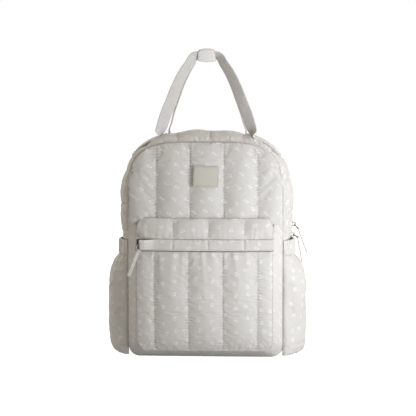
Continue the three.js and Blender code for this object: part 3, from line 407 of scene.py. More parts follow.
def panel_height(x, row):
    """Rows 0 to 1 run from the panel's floor to behind the pocket's top, and rows 1 to 2 on to its seam."""
    low, high = seam_floor(x), seam_top(x)
    split = np.minimum(POCKET_TOP, high - 10)
    return np.where(row < 1, low + (split - low) * row, split + (high - split) * (row - 1))


def panel_surface(x, row):
    """The panel's cloth lies 1.5 mm inside its outer face."""
    z = panel_height(x, row)
    return x, front_face(x, z) + 1.5, z


def panel_edge(x, z):
    """Distance to the panel's nearest edge; its floor is 2 mm further off and its top counts 0.8."""
    return np.minimum.reduce([HALF_WIDTH - np.abs(x), (seam_top(x) - z) * 0.8, z - seam_floor(x) + 2])


def panel_form(x, row):
    """1.5 mm of wadding, the channels' puffs where the pocket doesn't cover them, and rolled edges."""
    z = panel_height(x, row)
    edge = panel_edge(x, z)
    behind = np.clip((z - POCKET_TOP + 20) / 14, 0, 1)
    full = 0.85 * QUILT_PUFF * puff(x, QUILT_PITCH, QUILT_SHIFT) * np.clip(edge / 22, 0, 1) ** 0.5
    return 1.5 + full * behind - edge_roll(edge, 3.5)


def panel_relief(x, row):
    """Short puckers across the seams, longer ones from the top edge, and faint slanted creases."""
    z = panel_height(x, row)
    edge = panel_edge(x, z)
    behind = np.clip((z - POCKET_TOP + 20) / 14, 0, 1) * label_calm(x, row)
    seam = puckers(nearest_seam(x, panel_seams), z, 8, reach=5, height=1.2)
    top = puckers(np.maximum(edge - 1, 0), x + z, 5, reach=12, height=0.6, pitch=7)
    creases = 0.5 * noise(x + 0.5 * z, z - 0.3 * x, 34, 3) * np.clip(edge / 12, 0, 1)
    return (seam + top + creases) * behind


def label_calm(x, row):
    """0 under the label, which holds the cloth flat, and 1 a little way outside it."""
    z = panel_height(x, row)
    beyond = np.maximum(*(np.abs(k - at) - size / 2 for k, at, size in zip((x, z), LABEL_AT, LABEL_SIZE)))
    return np.clip((beyond + 1) / 9, 0.08, 1)


panel_lines = [-HALF_WIDTH, *panel_seams, HALF_WIDTH]
on_panel = quilted(
    "front_panel_quilted", ["front_panel"], places_between(panel_lines, CLOTH_STEP), PANEL_ROWS,
    panel_surface, panel_form, panel_relief, calm=label_calm,
    held=lambda x, row: (nearest_seam(x, panel_lines) < 0.5) | (row < 0.9) | (row > 1.99), shift=(31, 0),
)


# Stitches: lock stitch in thick cotton thread, 4 mm long, which the seam and edge lines of every piece carry.
def spun_thread(name, dark, light):
    """Matt thread of three plies: two shades of one dye follow each other every 0.5 mm."""
    return clouded(name, dark, light, {"Scale": 2000.0, "Detail": 1.0}, Roughness=0.8, Sheen_Weight=0.3)[0]


COTTON_THREAD = spun_thread("cotton_thread", "#D5D1C9", "#E5E1DB")
# The edge stitching is real, but its tan thread is darker than the cloth so that it also paints the warm
# shade that lies along the seams.
TAN_SEAM_SHADE_THREAD = spun_thread("tan_edge_thread_painted_seam_shade", "#837666", "#998C7E")
TAN_SEAM_SHADE = {"material": TAN_SEAM_SHADE_THREAD, "length": 1.8, "gap": 0.5, "width": 0.8}


def unit(vectors):
    """Vectors made one long."""
    return vectors / np.maximum(np.linalg.norm(vectors, axis=-1, keepdims=True), 1e-9)


def run_lengths(points):
    """Length along a run at each of its points."""
    return np.append(0, np.cumsum(np.linalg.norm(np.diff(points, axis=0), axis=1)))


def read_along(values, lengths, at):
    """Values of a run, read at other lengths along it."""
    return np.stack([np.interp(at, lengths, values[:, k]) for k in range(3)], axis=-1)


def tube_faces(rings, around):
    """Faces of a tube, ring by ring."""
    i, j = np.meshgrid(np.arange(rings - 1), np.arange(around), indexing="ij")
    a, b = i * around + j, i * around + (j + 1) % around
    return np.stack([a, b, b + around, a + around], axis=-1).reshape(-1, 4)


def stitched(name, runs, slot="cloth", material=COTTON_THREAD, length=3.0, gap=1.2, width=0.75):
    """Stitches along runs of points on cloth: each a small ellipsoid, half sunk, lying along its run."""
    places, ways, ups = [], [], []
    for points, facing in runs:
        along = run_lengths(points)
        at = np.arange(gap + length / 2, along[-1] - length / 2, length + gap)
        places.append(read_along(points, along, at))
        ways.append(read_along(points, along, at + 1) - read_along(points, along, at - 1))
        ups.append(read_along(facing, along, at))
    place, way, up = (np.concatenate(k) for k in (places, ways, ups))
    way = unit(way)
    up = unit(up - way * np.sum(up * way, axis=1, keepdims=True))
    turn, rise = np.meshgrid(np.arange(6) * math.pi / 3, np.linspace(-0.93, 0.93, 5))
    thin = np.sqrt(1 - rise**2) * width / 2
    form = np.stack([rise * length / 2, thin * np.cos(turn), thin * np.sin(turn)], axis=-1).reshape(-1, 3)
    axes = np.stack([way, np.cross(way, up), up], axis=1)
    points = place[:, None] + np.einsum("kc,ncd->nkd", form, axes) + up[:, None] * width * 0.25
    starts = np.arange(len(place)) * 30
    faces = (tube_faces(5, 6)[None] + starts[:, None, None]).reshape(-1, 4)
    ends = [(ring + s).tolist() for ring in (np.arange(6)[::-1], np.arange(24, 30)) for s in starts]
    made = piece_from(name, points.reshape(-1, 3), faces, caps=ends)
    made.data.materials.append(material)
    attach(made, "root")
    return made


def line_on(on, u, v, count=160):
    """A run of points on a piece's cloth. Each of u and v is a first and last place, or one place kept."""
    return on(*(np.linspace(*np.broadcast_to(k, 2), count) for k in (u, v)))


panel_sides = [line_on(on_panel, side * (HALF_WIDTH - 1.2), (1.05, 1.9)) for side in (-1, 1)]
panel_top = line_on(on_panel, (1.2 - HALF_WIDTH, HALF_WIDTH - 1.2), 1.99, 600)
# Tan edge stitches: real stitching, in a darker thread that paints the warm shade along the seam.
stitched("front_panel_edge_stitching", [*panel_sides, panel_top], **TAN_SEAM_SHADE)
stitched("front_panel_quilting", [line_on(on_panel, x, (1.0, 1.985)) for x in panel_seams])


# Gusset: the band of the same quilted cotton that joins front to back over the top of the bag. It is cut
# along its middle for the zip, swells out between its seams, and its own channels run from front to back.
SIDE_BELLY, TOP_BELLY, BELLY_SQUARENESS, BELLY_ROUNDNESS = 17, 18, 2.65, 0.75
BELLY_LOW, BELLY_LOW_HEIGHT = 0.35, 150
ZIP_END_HEIGHT, ZIP_SLOT, GUSSET_QUILT_SHIFT, GUSSET_PUFF = 200, 13, 36, 2


def fullness(y):
    """How full the gusset is at a depth: cos(pi y / depth)^0.75, 0 at the seams and 1 half way between."""
    return np.clip(np.cos(np.pi / 2 * np.clip(y / HALF_DEPTH, -1, 1)), 0, 1) ** BELLY_ROUNDNESS


def side_half(y, z):
    """Half the bag's width: the seam's, and a belly that a smoothstep takes from 0.35 to 1 at the shoulder.

    The belly is full half way through the bag's depth, and nothing at its seams.
    """
    up = np.clip((z - BELLY_LOW_HEIGHT) / (SHOULDER_START - BELLY_LOW_HEIGHT), 0, 1)
    return HALF_WIDTH + SIDE_BELLY * (BELLY_LOW + (1 - BELLY_LOW) * up * up * (3 - 2 * up)) * fullness(y)


def arch(low_half, half, rise, squareness):
    """A whole arch from one zip end to the other, as places along it, with x and z at each."""
    share = np.linspace(0, 1, 80)
    turn = np.pi / 2 * share**2 * (3 - 2 * share)
    x = np.append(low_half, half * np.clip(np.cos(turn), 0, 1) ** (2 / squareness))
    z = np.append(ZIP_END_HEIGHT, SHOULDER_START + rise * np.sin(turn) ** (2 / squareness))
    x, z = np.concatenate([-x, x[::-1][1:]]), np.concatenate([z, z[::-1][1:]])
    return run_lengths(np.stack([x, z], axis=-1)), x, z


seam_arch = arch(HALF_WIDTH, HALF_WIDTH, SHOULDER_RISE, SHOULDER_SQUARENESS)
ridge_low, ridge_half = side_half(0, ZIP_END_HEIGHT), side_half(0, SHOULDER_START)
ridge_arch = arch(ridge_low, ridge_half, SHOULDER_RISE + TOP_BELLY, BELLY_SQUARENESS)
RIDGE_LENGTH = ridge_arch[0][-1]


def gusset_surface(place, y):
    """A point of the gusset: the seam's arch and the ridge's, blended by how full it is at this depth."""
    share, full = 0.5 + place / RIDGE_LENGTH, fullness(y)
    (seam_x, seam_z), (ridge_x, ridge_z) = (
        [np.interp(share * lengths[-1], lengths, values) for values in (x, z)]
        for lengths, x, z in (seam_arch, ridge_arch)
    )
    return seam_x * (1 - full) + ridge_x * full, y, seam_z * (1 - full) + ridge_z * full


gusset_seams = seams_in(RIDGE_LENGTH / 2, QUILT_PITCH, GUSSET_QUILT_SHIFT)
gusset_lines = [-RIDGE_LENGTH / 2, *gusset_seams, RIDGE_LENGTH / 2]


def gusset_edge(y):
    """Distance to the nearer of the half's two long edges, at the seam and at the zip."""
    return np.minimum(HALF_DEPTH - np.abs(y), np.abs(y) - ZIP_SLOT / 2)


def gusset_form(place, y):
    """Each channel's puff, fading to the two long edges, which are rolled under."""
    full = puff(place, QUILT_PITCH, GUSSET_QUILT_SHIFT) * np.clip(gusset_edge(y) / 10, 0, 1) ** 0.6
    rolled = edge_roll(HALF_DEPTH - np.abs(y), 1.5) + edge_roll(np.abs(y) - ZIP_SLOT / 2, 1.2)
    return (GUSSET_PUFF + 1.2) * full - rolled


def gusset_held(place, y):
    """The cloth is held on its seams, along the zip and along the bag's seam."""
    return (nearest_seam(place, gusset_lines) < 0.5) | (np.abs(y) < 9) | (np.abs(y) > HALF_DEPTH - 1)


for word, side in (("front", -1), ("back", 1)):
    def gusset_relief(place, y, seed=20 + side):
        """Puckers across the channels' seams and along both edges, and soft unevenness."""
        edge = gusset_edge(y)
        across = puckers(nearest_seam(place, gusset_seams), y + 90, seed, height=0.8)
        sewn = puckers(np.maximum(edge, 0), place, seed + 5, reach=12, height=0.8, pitch=9)
        return (across + sewn + 0.8 * noise(place, y, 26, seed)) * np.clip(edge / 5, 0, 1)

    quilted(
        f"zip_gusset_{word}_quilted", [f"zip_gusset_{word}"], places_between(gusset_lines, CLOTH_STEP),
        side * np.linspace(ZIP_SLOT / 2, HALF_DEPTH, 18), gusset_surface, gusset_form, gusset_relief,
        shift=(400, 90), held=gusset_held, cap=2.5, slack=0.015,
    )


# Sides and base: below the zip's ends each side of the bag is one plain padded wall, and the base is flat
# underneath. The side pockets and the front pocket cover nearly all of them.
for word, side in (("left", -1), ("right", 1)):
    def wall_surface(y, z):
        """The bag's half width at each depth and height, to its own side."""
        return side * side_half(y, z), y, z

    quilted(
        f"side_gusset_{word}_padded", [f"side_gusset_{word}"], np.linspace(-HALF_DEPTH, HALF_DEPTH, 22),
        np.linspace(BASE_CORNER + GAP, ZIP_END_HEIGHT - GAP, 38), wall_surface,
        lambda y, z: -edge_roll(HALF_DEPTH - np.abs(y), 1.2), lambda y, z: 0.4 * noise(y, z, 20, 41),
        shift=(700, 0),
    )


def base_surface(place, y):
    """The base: flat in its middle, with a quarter circle up to each side. Places run along that outline."""
    half = side_half(y, BASE_CORNER)
    flat_half = half - BASE_CORNER
    turn = np.clip(np.abs(place) - 1, 0, 1) * np.pi / 2
    x = np.sign(place) * (np.clip(np.abs(place), 0, 1) * flat_half + BASE_CORNER * np.sin(turn))
    return x, y, BASE_CORNER * (1 - np.cos(turn))


quilted(
    "base_padded", ["base_panel"], np.linspace(-2, 2, 61), np.linspace(-HALF_DEPTH, HALF_DEPTH, 24),
    base_surface, lambda place, y: -edge_roll(HALF_DEPTH - np.abs(y), 1.2), lambda place, y: 0 * y,
    shift=(0, 700),
)

# Back panel: plain cotton over thicker padding, only lightly crowned, since it lies against the wearer.
BACK_WALL, BACK_CROWN = 7, 5


def back_face(x, z):
    """Depth of the back panel's outer face."""
    up = (z - seam_floor(x)) / (seam_top(x) - seam_floor(x))
    return HALF_DEPTH + GAP + BACK_WALL + BACK_CROWN * crown(x / HALF_WIDTH, up)


def back_height(x, share):
    """Height of a place on the back panel: its floor at share 0 and its top at 1."""
    return seam_floor(x) + (seam_top(x) - seam_floor(x)) * share


def back_surface(x, share):
    """The back panel's outer face less 3 mm."""
    z = back_height(x, share)
    return x, back_face(x, z) - 3, z


def back_edge(x, share):
    """Distance to the back panel's nearest edge."""
    z = back_height(x, share)
    return np.minimum.reduce([HALF_WIDTH - np.abs(x), seam_top(x) - z, z - seam_floor(x)])


quilted(
    "back_panel_padded", ["back_panel"], np.linspace(-HALF_WIDTH, HALF_WIDTH, 70), np.linspace(0, 1, 92),
    back_surface, lambda x, share: 2.5 - edge_roll(back_edge(x, share), 4),
    lambda x, share: puckers(back_edge(x, share), x + 380 * share, 51, reach=10, height=0.5, pitch=9),
    held=lambda x, share: back_edge(x, share) < 1, shift=(0, 1200), swell=2, slack=0.012, cap=2,
)

# Front pocket: a quilted lower panel and a quilted upper band, with the zip between them, and a plain strip
# round three sides that gives the pocket its depth. It swells low down and closes in at the top.
POCKET_BASE, POCKET_WIDTH, POCKET_DEPTH, POCKET_CORNER = 12, 234, 30, 19
POCKET_HALF = POCKET_WIDTH / 2
POCKET_ZIP_FROM, POCKET_ZIP_TO = 185, 204
POCKET_PITCH, POCKET_SHIFT, BAND_PITCH, BAND_SHIFT, POCKET_PUFF = 58, 2, 60.2, 36.6, 4
EDGE_STITCH_INSET = 2.2
POCKET_PROFILE = np.array([
    # height share, depth share
    [0, 0.66], [0.1, 0.86], [0.35, 1], [0.6, 0.95], [0.78, 0.84], [0.86, 0.72], [0.94, 0.4], [1, 0.14],
])
profile_share = np.linspace(0, 1, 200)
rough_depth = np.interp(profile_share, POCKET_PROFILE[:, 0], POCKET_PROFILE[:, 1])
smooth_depth = np.convolve(np.pad(rough_depth, 9, mode="edge"), np.ones(19) / 19, mode="valid")


def pocket_face(x, z):
    """Depth of the pocket's outer face without its puffs: its own depth in front of the main panel."""
    share = np.clip((z - POCKET_BASE) / (POCKET_TOP - POCKET_BASE), 0, 1)
    swell = POCKET_DEPTH * np.interp(share, profile_share, smooth_depth)
    return front_face(x, z) - swell * (1 - 0.12 * (x / POCKET_HALF) ** 2)


def pocket_half(z):
    """Half the pocket's width at a height, rounded in at its lower corners."""
    up = np.clip((z - POCKET_BASE) / POCKET_CORNER, 0, 1)
    return POCKET_HALF - POCKET_CORNER * (1 - np.sqrt(1 - (1 - up) ** 2)) * 0.999


def pocket_surface(x, z):
    """The pocket's face less 1 mm, with places drawn in evenly at its rounded lower corners."""
    across = x * pocket_half(z) / POCKET_HALF
    return across, pocket_face(across, z) + 1, z


pocket_seams = seams_in(POCKET_HALF, POCKET_PITCH, POCKET_SHIFT)
pocket_lines = [-POCKET_HALF, *pocket_seams, POCKET_HALF]


def pocket_edge(x, z):
    """Distance to the nearest edge of the lower panel, where the zip's edge counts 1.5."""
    return np.minimum.reduce([POCKET_HALF - np.abs(x), z - POCKET_BASE, (POCKET_ZIP_FROM - z) * 1.5])


def pocket_form(x, edge, pitch, shift, fade):
    """1 mm of wadding, the channels' puffs times (edge / fade)^0.6 up to 1, and rolled edges."""
    full = puff(x, pitch, shift) * np.clip(edge / fade, 0, 1) ** 0.6
    return 1 + POCKET_PUFF * full - edge_roll(edge, 2.6)


def gathers(x, down, seed, reach=22, height=1.6, pitch=13):
    """Folds that run down from a sewn edge: uneven ridges across it that fade with the distance down."""
    wander = x + 4 * noise(x, down * 0.4, 24, seed)
    ridge = (0.5 + 0.5 * np.cos(2 * np.pi * wander / pitch)) ** 1.6 - 0.4
    strong = 0.4 + 0.6 * np.abs(noise(x, 0 * x, 21, seed + 1))
    return 0.65 * height * ridge * strong * np.exp(-down / (reach * (0.5 + strong)))


def pocket_relief(x, z):
    """Puckers at seams and sides, folds down from the zip and up from the foot, and slack."""
    edge = pocket_edge(x, z)
    seam = puckers(nearest_seam(x, pocket_seams), z, 61, reach=5, height=1.1)
    top = gathers(x, POCKET_ZIP_FROM - z, 64, reach=26, height=2.6, pitch=18)
    foot = gathers(x, z - POCKET_BASE, 67, reach=10, height=1.2, pitch=16)
    sides = puckers(np.maximum(POCKET_HALF - np.abs(x) - 3, 0), z, 70, reach=12, height=0.5, pitch=8)
    slack_folds = 0.5 * noise(x + 0.3 * z, z - 0.4 * x, 38, 71)
    return (seam + top + foot + sides + slack_folds) * np.clip(edge / 6, 0, 1)


on_pocket = quilted(
    "pocket_lower_panel_quilted", ["pocket_lower_panel"], places_between(pocket_lines, CLOTH_STEP),
    np.linspace(POCKET_BASE, POCKET_ZIP_FROM, 68), pocket_surface,
    lambda x, z: pocket_form(x, pocket_edge(x, z), POCKET_PITCH, POCKET_SHIFT, 24), pocket_relief,
    held=lambda x, z: (nearest_seam(x, pocket_lines) < 0.5) | (pocket_edge(x, z) < 3),
    shift=(120, 330), thick=2,
)
seam_run = POCKET_BASE + 4, POCKET_ZIP_FROM - 7
stitched("pocket_quilting", [line_on(on_pocket, x, seam_run) for x in pocket_seams])
pocket_ends = [side * (POCKET_HALF - EDGE_STITCH_INSET) for side in (-1, 1)]
side_run = POCKET_BASE + 4, POCKET_ZIP_FROM - 3
# Tan edge stitches: real stitching, in a darker thread that paints the warm shade along the seam.
stitched("pocket_edge_stitching", [line_on(on_pocket, end, side_run) for end in pocket_ends], **TAN_SEAM_SHADE)

band_seams = seams_in(POCKET_HALF, BAND_PITCH, BAND_SHIFT)
band_lines = [-POCKET_HALF, *band_seams, POCKET_HALF]
BAND_CORNER, BAND_DRAWN_FROM = 18, 70
BAND_FOLD_AT, BAND_FOLD_TO = (-116, 214.6), -80


def band_surface(x, z):
    """The pocket's face, with the band's upper corners drawn in to quarter circles."""
    up = np.clip((z - POCKET_TOP) / BAND_CORNER + 1, 0, 1)
    drawn = np.clip((np.abs(x) - BAND_DRAWN_FROM) / (POCKET_HALF - BAND_DRAWN_FROM), 0, 1) ** 2
    across = x - np.sign(x) * drawn * BAND_CORNER * (1 - np.sqrt(1 - up**2)) * 0.999
    return across, pocket_face(across, z) + 1, z


def band_edge(x, z):
    """Distance to the band's nearest edge, where its top counts 1.2."""
    return np.minimum.reduce([POCKET_HALF - np.abs(x), (POCKET_TOP - z) * 1.2, z - POCKET_ZIP_TO])


def band_relief(x, z):
    """Puckers at seams, folds up from the zip, and the folded corner of the left end."""
    edge = band_edge(x, z)
    seam = puckers(nearest_seam(x, band_seams), z, 81, reach=5, height=1.2)
    foot = gathers(x, z - POCKET_ZIP_TO, 84, reach=9, height=1.5, pitch=11)
    # The lower corner of the left end is folded under along a slanted line.
    beside = (x - BAND_FOLD_AT[0]) * 0.78 + (z - BAND_FOLD_AT[1]) * 0.62
    crease, swell = np.exp(-((beside / 1.7) ** 2)), np.exp(-(((beside - 8) / 5) ** 2))
    fold = 1.2 * swell - 1.6 * crease - 4.2 * np.clip(-beside / 1.8, 0, 1)
    fold = fold * np.clip((BAND_FOLD_TO - x) / 12, 0, 1)
    return (seam + foot + fold + 0.6 * noise(x, z, 24, 86)) * np.clip(edge / 5, 0, 1)


on_band = quilted(
    "pocket_upper_band_quilted", ["pocket_upper_band"], places_between(band_lines, CLOTH_STEP),
    np.linspace(POCKET_ZIP_TO, POCKET_TOP, 17), band_surface,
    lambda x, z: pocket_form(x, band_edge(x, z), BAND_PITCH, BAND_SHIFT, 14), band_relief,
    held=lambda x, z: (nearest_seam(x, band_lines) < 0.5) | (band_edge(x, z) < 1.5),
    shift=(210, 620), thick=2, cap=2.5,
)
band_run = POCKET_ZIP_TO + 2, POCKET_TOP - 3
band_sides = [line_on(on_band, end, band_run, 60) for end in pocket_ends]
band_top = line_on(on_band, (3 - POCKET_HALF, POCKET_HALF - 3), POCKET_TOP - 1.4, 400)
# Tan edge stitches: real stitching, in a darker thread that paints the warm shade along the seam.
stitched("pocket_band_edge_stitching", [*band_sides, band_top], **TAN_SEAM_SHADE)
stitched("pocket_band_quilting", [line_on(on_band, x, band_run, 60) for x in band_seams])

# Zip flap: a folded strip of the same cotton, sewn on under the upper band. It hangs over the pocket's zip.
FLAP_FROM, FLAP_TO, SLIDER_FACE = -110.5, 117.5, -88
FLAP_EASED_FROM, FLAP_EASED_OVER = -80, 24


def flap_surface(x, z):
    """A slope from the lower panel to the band, eased forward at the left to clear the slider."""
    up = (z - POCKET_ZIP_FROM - 1) / (POCKET_ZIP_TO - POCKET_ZIP_FROM - 1)
    low, high = pocket_face(x, POCKET_ZIP_FROM) - 1, pocket_face(x, POCKET_ZIP_TO) + 3
    over = np.clip((FLAP_EASED_FROM - x) / FLAP_EASED_OVER, 0, 1)
    y = low + (high - low) * up - 1.6
    return x, y + (np.minimum(y, SLIDER_FACE - 1.8) - y) * over * over * (3 - 2 * over), z


def flap_edge(x, z):
    """Distance to the flap's nearest free edge; its right end is sewn in."""
    return np.minimum.reduce([x - FLAP_FROM, z - POCKET_ZIP_FROM - 1, POCKET_ZIP_TO - z + 1])


def flap_form(x, z):
    """A fold 2.4 mm thick, rolled at its edges and a little uneven."""
    return 2.4 - edge_roll(flap_edge(x, z), 3.6) + 0.5 * noise(x, z * 0.5, 22, 90)


def flap_relief(x, z):
    """A dent and small puckers where the band's seams run on, and folds down from its seam."""
    beside = nearest_seam(x, band_seams)
    seam = puckers(beside, z, 94, height=0.4) - 1.3 * np.exp(-((beside / 2) ** 2))
    top = gathers(x, POCKET_ZIP_TO - z, 92, reach=6, height=0.9, pitch=9)
    return (seam + top) * np.clip(flap_edge(x, z) / 3, 0, 1)


on_flap = quilted(
    "pocket_zip_flap_folded", ["pocket_zip_flap"], np.linspace(FLAP_FROM, FLAP_TO, 84),
    np.linspace(POCKET_ZIP_FROM + 1, POCKET_ZIP_TO - GAP, 9), flap_surface, flap_form, flap_relief,
    shift=(210, 560), thick=1.4,
)
flap_line = line_on(on_flap, (FLAP_FROM + 3, FLAP_TO - 2), POCKET_ZIP_TO - 2.5)
stitched("pocket_flap_stitching", [flap_line])

# Pocket strip: a plain strip of cotton, bound at both edges, from the main panel out to the pocket's front.
STRIP_TOP, STRIP_TOP_CUT, STRIP_INSET, STRIP_FLOOR_GAP = 228, 6, 0.3, 3


def u_run(half, floor, corner, lean, place):
    """A U seen from the front: place -2 to -1 down the left, -1 to 0 round its corner, and mirrored."""
    far = np.abs(place)
    down = np.clip(far - 1, 0, 1)
    turn = np.clip(far * 3 - 2, 0, 1) * np.pi / 2
    level = np.clip(far * 1.5, 0, 1) * (half - corner)
    corner_top = floor + corner
    x = np.where(far > 1, half - lean * np.clip((down - 0.95) / 0.05, 0, 1), level + corner * np.sin(turn))
    z = np.where(far > 1, corner_top + (STRIP_TOP - corner_top) * down, corner_top - corner * np.cos(turn))
    return np.sign(place) * x, z


def strip_surface(place, d):
    """From a U on the main panel at d 0, straight out to a U at the pocket's edge at 1."""
    xb, zb = u_run(HALF_WIDTH - STRIP_INSET, STRIP_FLOOR_GAP, BASE_CORNER, STRIP_TOP_CUT, place)
    xf, zf = u_run(POCKET_HALF, POCKET_BASE, POCKET_CORNER, 0, place)
    x, z = xb + (xf - xb) * d, zb + (zf - zb) * d
    start, end = front_face(x, z) - 3 * GAP, pocket_face(x, z) + 3 + 2 * GAP
    return x, start + (end - start) * d, z


def strip_relief(place, d):
    """Soft unevenness, and puckers along both sewn edges."""
    edge, along = np.minimum(d, 1 - d) * 30, place * 190
    sewn = puckers(edge, along, 98, height=0.9, pitch=8)
    return (0.7 * noise(along, d * 12, 13, 97) + sewn) * np.clip(edge / 3, 0, 1)


strip_places = [np.linspace(-2, -1, 84), np.linspace(-1, 1, 110), np.linspace(1, 2, 84)]
quilted(
    "pocket_strip", ["pocket_gusset"], np.unique(np.concatenate(strip_places)),
    np.linspace(0, 1, 13), strip_surface, lambda place, d: 0 * d, strip_relief,
    shift=(900, 40), centre=(0, -60, 120), thick=1.8,
)

# Side pockets: unpadded cotton gathered into an elastic cuff, with a slack belly and folds at the foot.
CUFF_HEIGHT, CUFF_THICKNESS = 26, 2.4
SIDE_STANDOFF, SIDE_WALL, SIDE_FLOOR, SEAM_REACH = 31, 2.5, 2, 2.2
SIDE_TOP = ZIP_END_HEIGHT - CUFF_HEIGHT
SIDE_PROFILE = np.array([
    # height share, standoff share
    [0, 0.62], [0.015, 0.8], [0.07, 0.93], [0.2, 0.97], [0.45, 1], [0.7, 0.97], [0.84, 0.84], [0.93, 0.62],
    [1, 0.3],
])


def rounding(share):
    """How cloth rounds out between its front and back seams: sin(pi share)^0.5."""
    return np.sin(np.pi * np.clip(share, 0, 1)) ** 0.5


def side_pocket(word, side):
    """One side pocket: share runs from its front seam to its back seam, and up from its foot to its cuff."""
    def surface(share, up):
        """Stands off the bag's side by the profile at its height, times how far the cloth rounds out."""
        y = (2 * share - 1) * (HALF_DEPTH + SEAM_REACH)
        z = SIDE_FLOOR + (SIDE_TOP - SIDE_FLOOR) * up
        stand = np.interp(up, SIDE_PROFILE[:, 0], SIDE_PROFILE[:, 1])
        off = SIDE_WALL * (0.1 + 1.14 * rounding(share)) + SIDE_STANDOFF * stand * rounding(share)
        return side * (side_half(y, np.maximum(z, BASE_CORNER)) + off), y, z

    def form(share, up):
        """0.4 mm of cloth, rolled in along both seams."""
        return 0.4 - 1.2 * edge_roll(np.minimum(share, 1 - share) * 100, 1.2)

    def relief(share, up):
        """Folds down from the cuff and up from the foot, an uneven belly, and a sag on the left pocket."""
        across, down = share * 100, (1 - up) * (SIDE_TOP - SIDE_FLOOR)
        drawn = gathers(across, down, 110 + side, reach=26, height=4.2, pitch=9)
        belly = 2.4 * noise(across + 0.6 * down, down * 0.5, 30, 113 + side)
        foot = gathers(across + 20, up * (SIDE_TOP - SIDE_FLOOR), 116 + side, reach=16, height=4, pitch=17)
        sag = -2.8 * np.exp(-(((down - 118) + 0.8 * (across - 30)) / 6) ** 2) * (side < 0)
        edge = np.minimum.reduce([across, 100 - across, down * 4, (SIDE_TOP - down) * 2])
        return (drawn + belly + foot + sag) * np.clip(edge / 9, 0, 1)

    quilted(
        f"side_pocket_{word}_gathered", [f"side_pocket_{word}"], np.linspace(0, 1, 44), np.linspace(0, 1, 68),
        surface, form, relief,
        held=lambda share, up: (np.minimum(share, 1 - share) < 0.01) | (up > 0.99) | (up < 0.02),
        shift=(1100 + 90 * side, 60), thick=2, swell=1.0, slack=0.015, cap=3,
    )


def cuff(word, side):
    """One elastic cuff: share runs from its front seam to its back seam, and z up its height."""
    def surface(share, z):
        """Stands off the bag's side, less towards its top, times how far the cloth rounds out."""
        y = (2 * share - 1) * (HALF_DEPTH + SEAM_REACH)
        up = (z - SIDE_TOP) / CUFF_HEIGHT
        off = 0.2 + rounding(share) * (11.5 - 5 * up + CUFF_THICKNESS / 2)
        return side * (side_half(y, z) + off), y, z

    def relief(share, z):
        """Upright gathers 7.5 mm apart, (0.5 + 0.5 cos)^1.4, that wander and fade at both edges."""
        across = share * 100 + 3 * noise(share * 100, z, 20, 120 + side)
        ridge = (0.5 + 0.5 * np.cos(2 * np.pi * across / 7.5)) ** 1.4
        edge = np.minimum(z - SIDE_TOP, ZIP_END_HEIGHT - z)
        return 2.6 * ridge * (0.6 + 0.4 * noise(across, z * 0.3, 9, 122)) * np.clip((edge + 1.5) / 4, 0, 1)

    return quilted(
        f"pocket_cuff_{word}_elastic", [f"pocket_cuff_{word}"], np.linspace(0, 1, 60),
        np.linspace(SIDE_TOP, ZIP_END_HEIGHT, 14), surface,
        lambda share, z: 1.2 - edge_roll(np.minimum(z - SIDE_TOP, ZIP_END_HEIGHT - z), 1.2), relief,
        shift=(1100 + 90 * side, 320), thick=1.1,
    )


for word, side in (("left", -1), ("right", 1)):
    side_pocket(word, side)
    on_cuff = cuff(word, side)
    rows = [line_on(on_cuff, (0.02, 0.98), z) for z in (SIDE_TOP + 3, ZIP_END_HEIGHT - 4)]
    stitched(f"pocket_cuff_{word}_stitching", rows)

# Label: a woven cotton patch, bare, sewn on by its border over the middle channel.


def woven_label():
    """Damask label cloth: a flat satin weave with threads 0.25 mm apart, drawn at 0.7 mm so that it shows."""
    made, tree, shader, place, _ = clouded(
        "woven_label", "#B5B0A2", "#C6C1B5", {"Scale": 900.0, "Detail": 2.0}, flat=True,
        Roughness=0.7, Sheen_Weight=0.2,
    )
    threads = {"Vector": place, "Scale": 450.0, "Distortion": 1.0}
    threads = node(tree, "ShaderNodeTexWave", threads, bands_direction="Y").outputs[1]
    bump = node(tree, "ShaderNodeBump", {"Height": threads, "Strength": 0.3, "Distance": 0.0002})
    tree.links.new(bump.outputs[0], shader.inputs["Normal"])
    return made


def label_surface(u, v):
    """The label's face: turned by its tilt, lying on the puffs, and curled up a little at both sides."""
    tilt = math.radians(LABEL_TILT)
    x = LABEL_AT[0] + u * math.cos(tilt) - v * math.sin(tilt)
    z = LABEL_AT[1] + u * math.sin(tilt) + v * math.cos(tilt)
    curl = 0.9 * np.clip(np.abs(u) / (LABEL_SIZE[0] / 2), 0, 1) ** 3
    return np.stack([x, front_face(x, z) - QUILT_PUFF - 1.2 + curl + 0.25 * noise(u, v, 9, 131), z], axis=-1)


label_u, label_v = np.meshgrid(*(np.linspace(-0.5, 0.5, n) * size for n, size in zip((56, 44), LABEL_SIZE)))
label_face = label_surface(label_u, label_v)
label_places = np.stack([label_u, label_v], axis=-1)
label_piece = shell("label_patch", label_face, label_face + [0, LABEL_THICKNESS, 0], label_places)
dressed(label_piece, ["label"], woven_label())
border = np.array([[-1, -1], [1, -1], [1, 1], [-1, 1], [-1, -1]]) * (np.array(LABEL_SIZE) / 2 - 2)
t = np.linspace(0, 1, 60)[:, None]
sides = [label_surface(*(a + (b - a) * t).T) for a, b in zip(border, border[1:])]
runs = [(side, np.tile([0.0, -1, 0], (60, 1))) for side in sides]
label_thread = spun_thread("label_thread", "#817D6D", "#979383")
label_border = stitched("label_stitching", runs, "label", label_thread, length=1.6, gap=0.9, width=0.6)

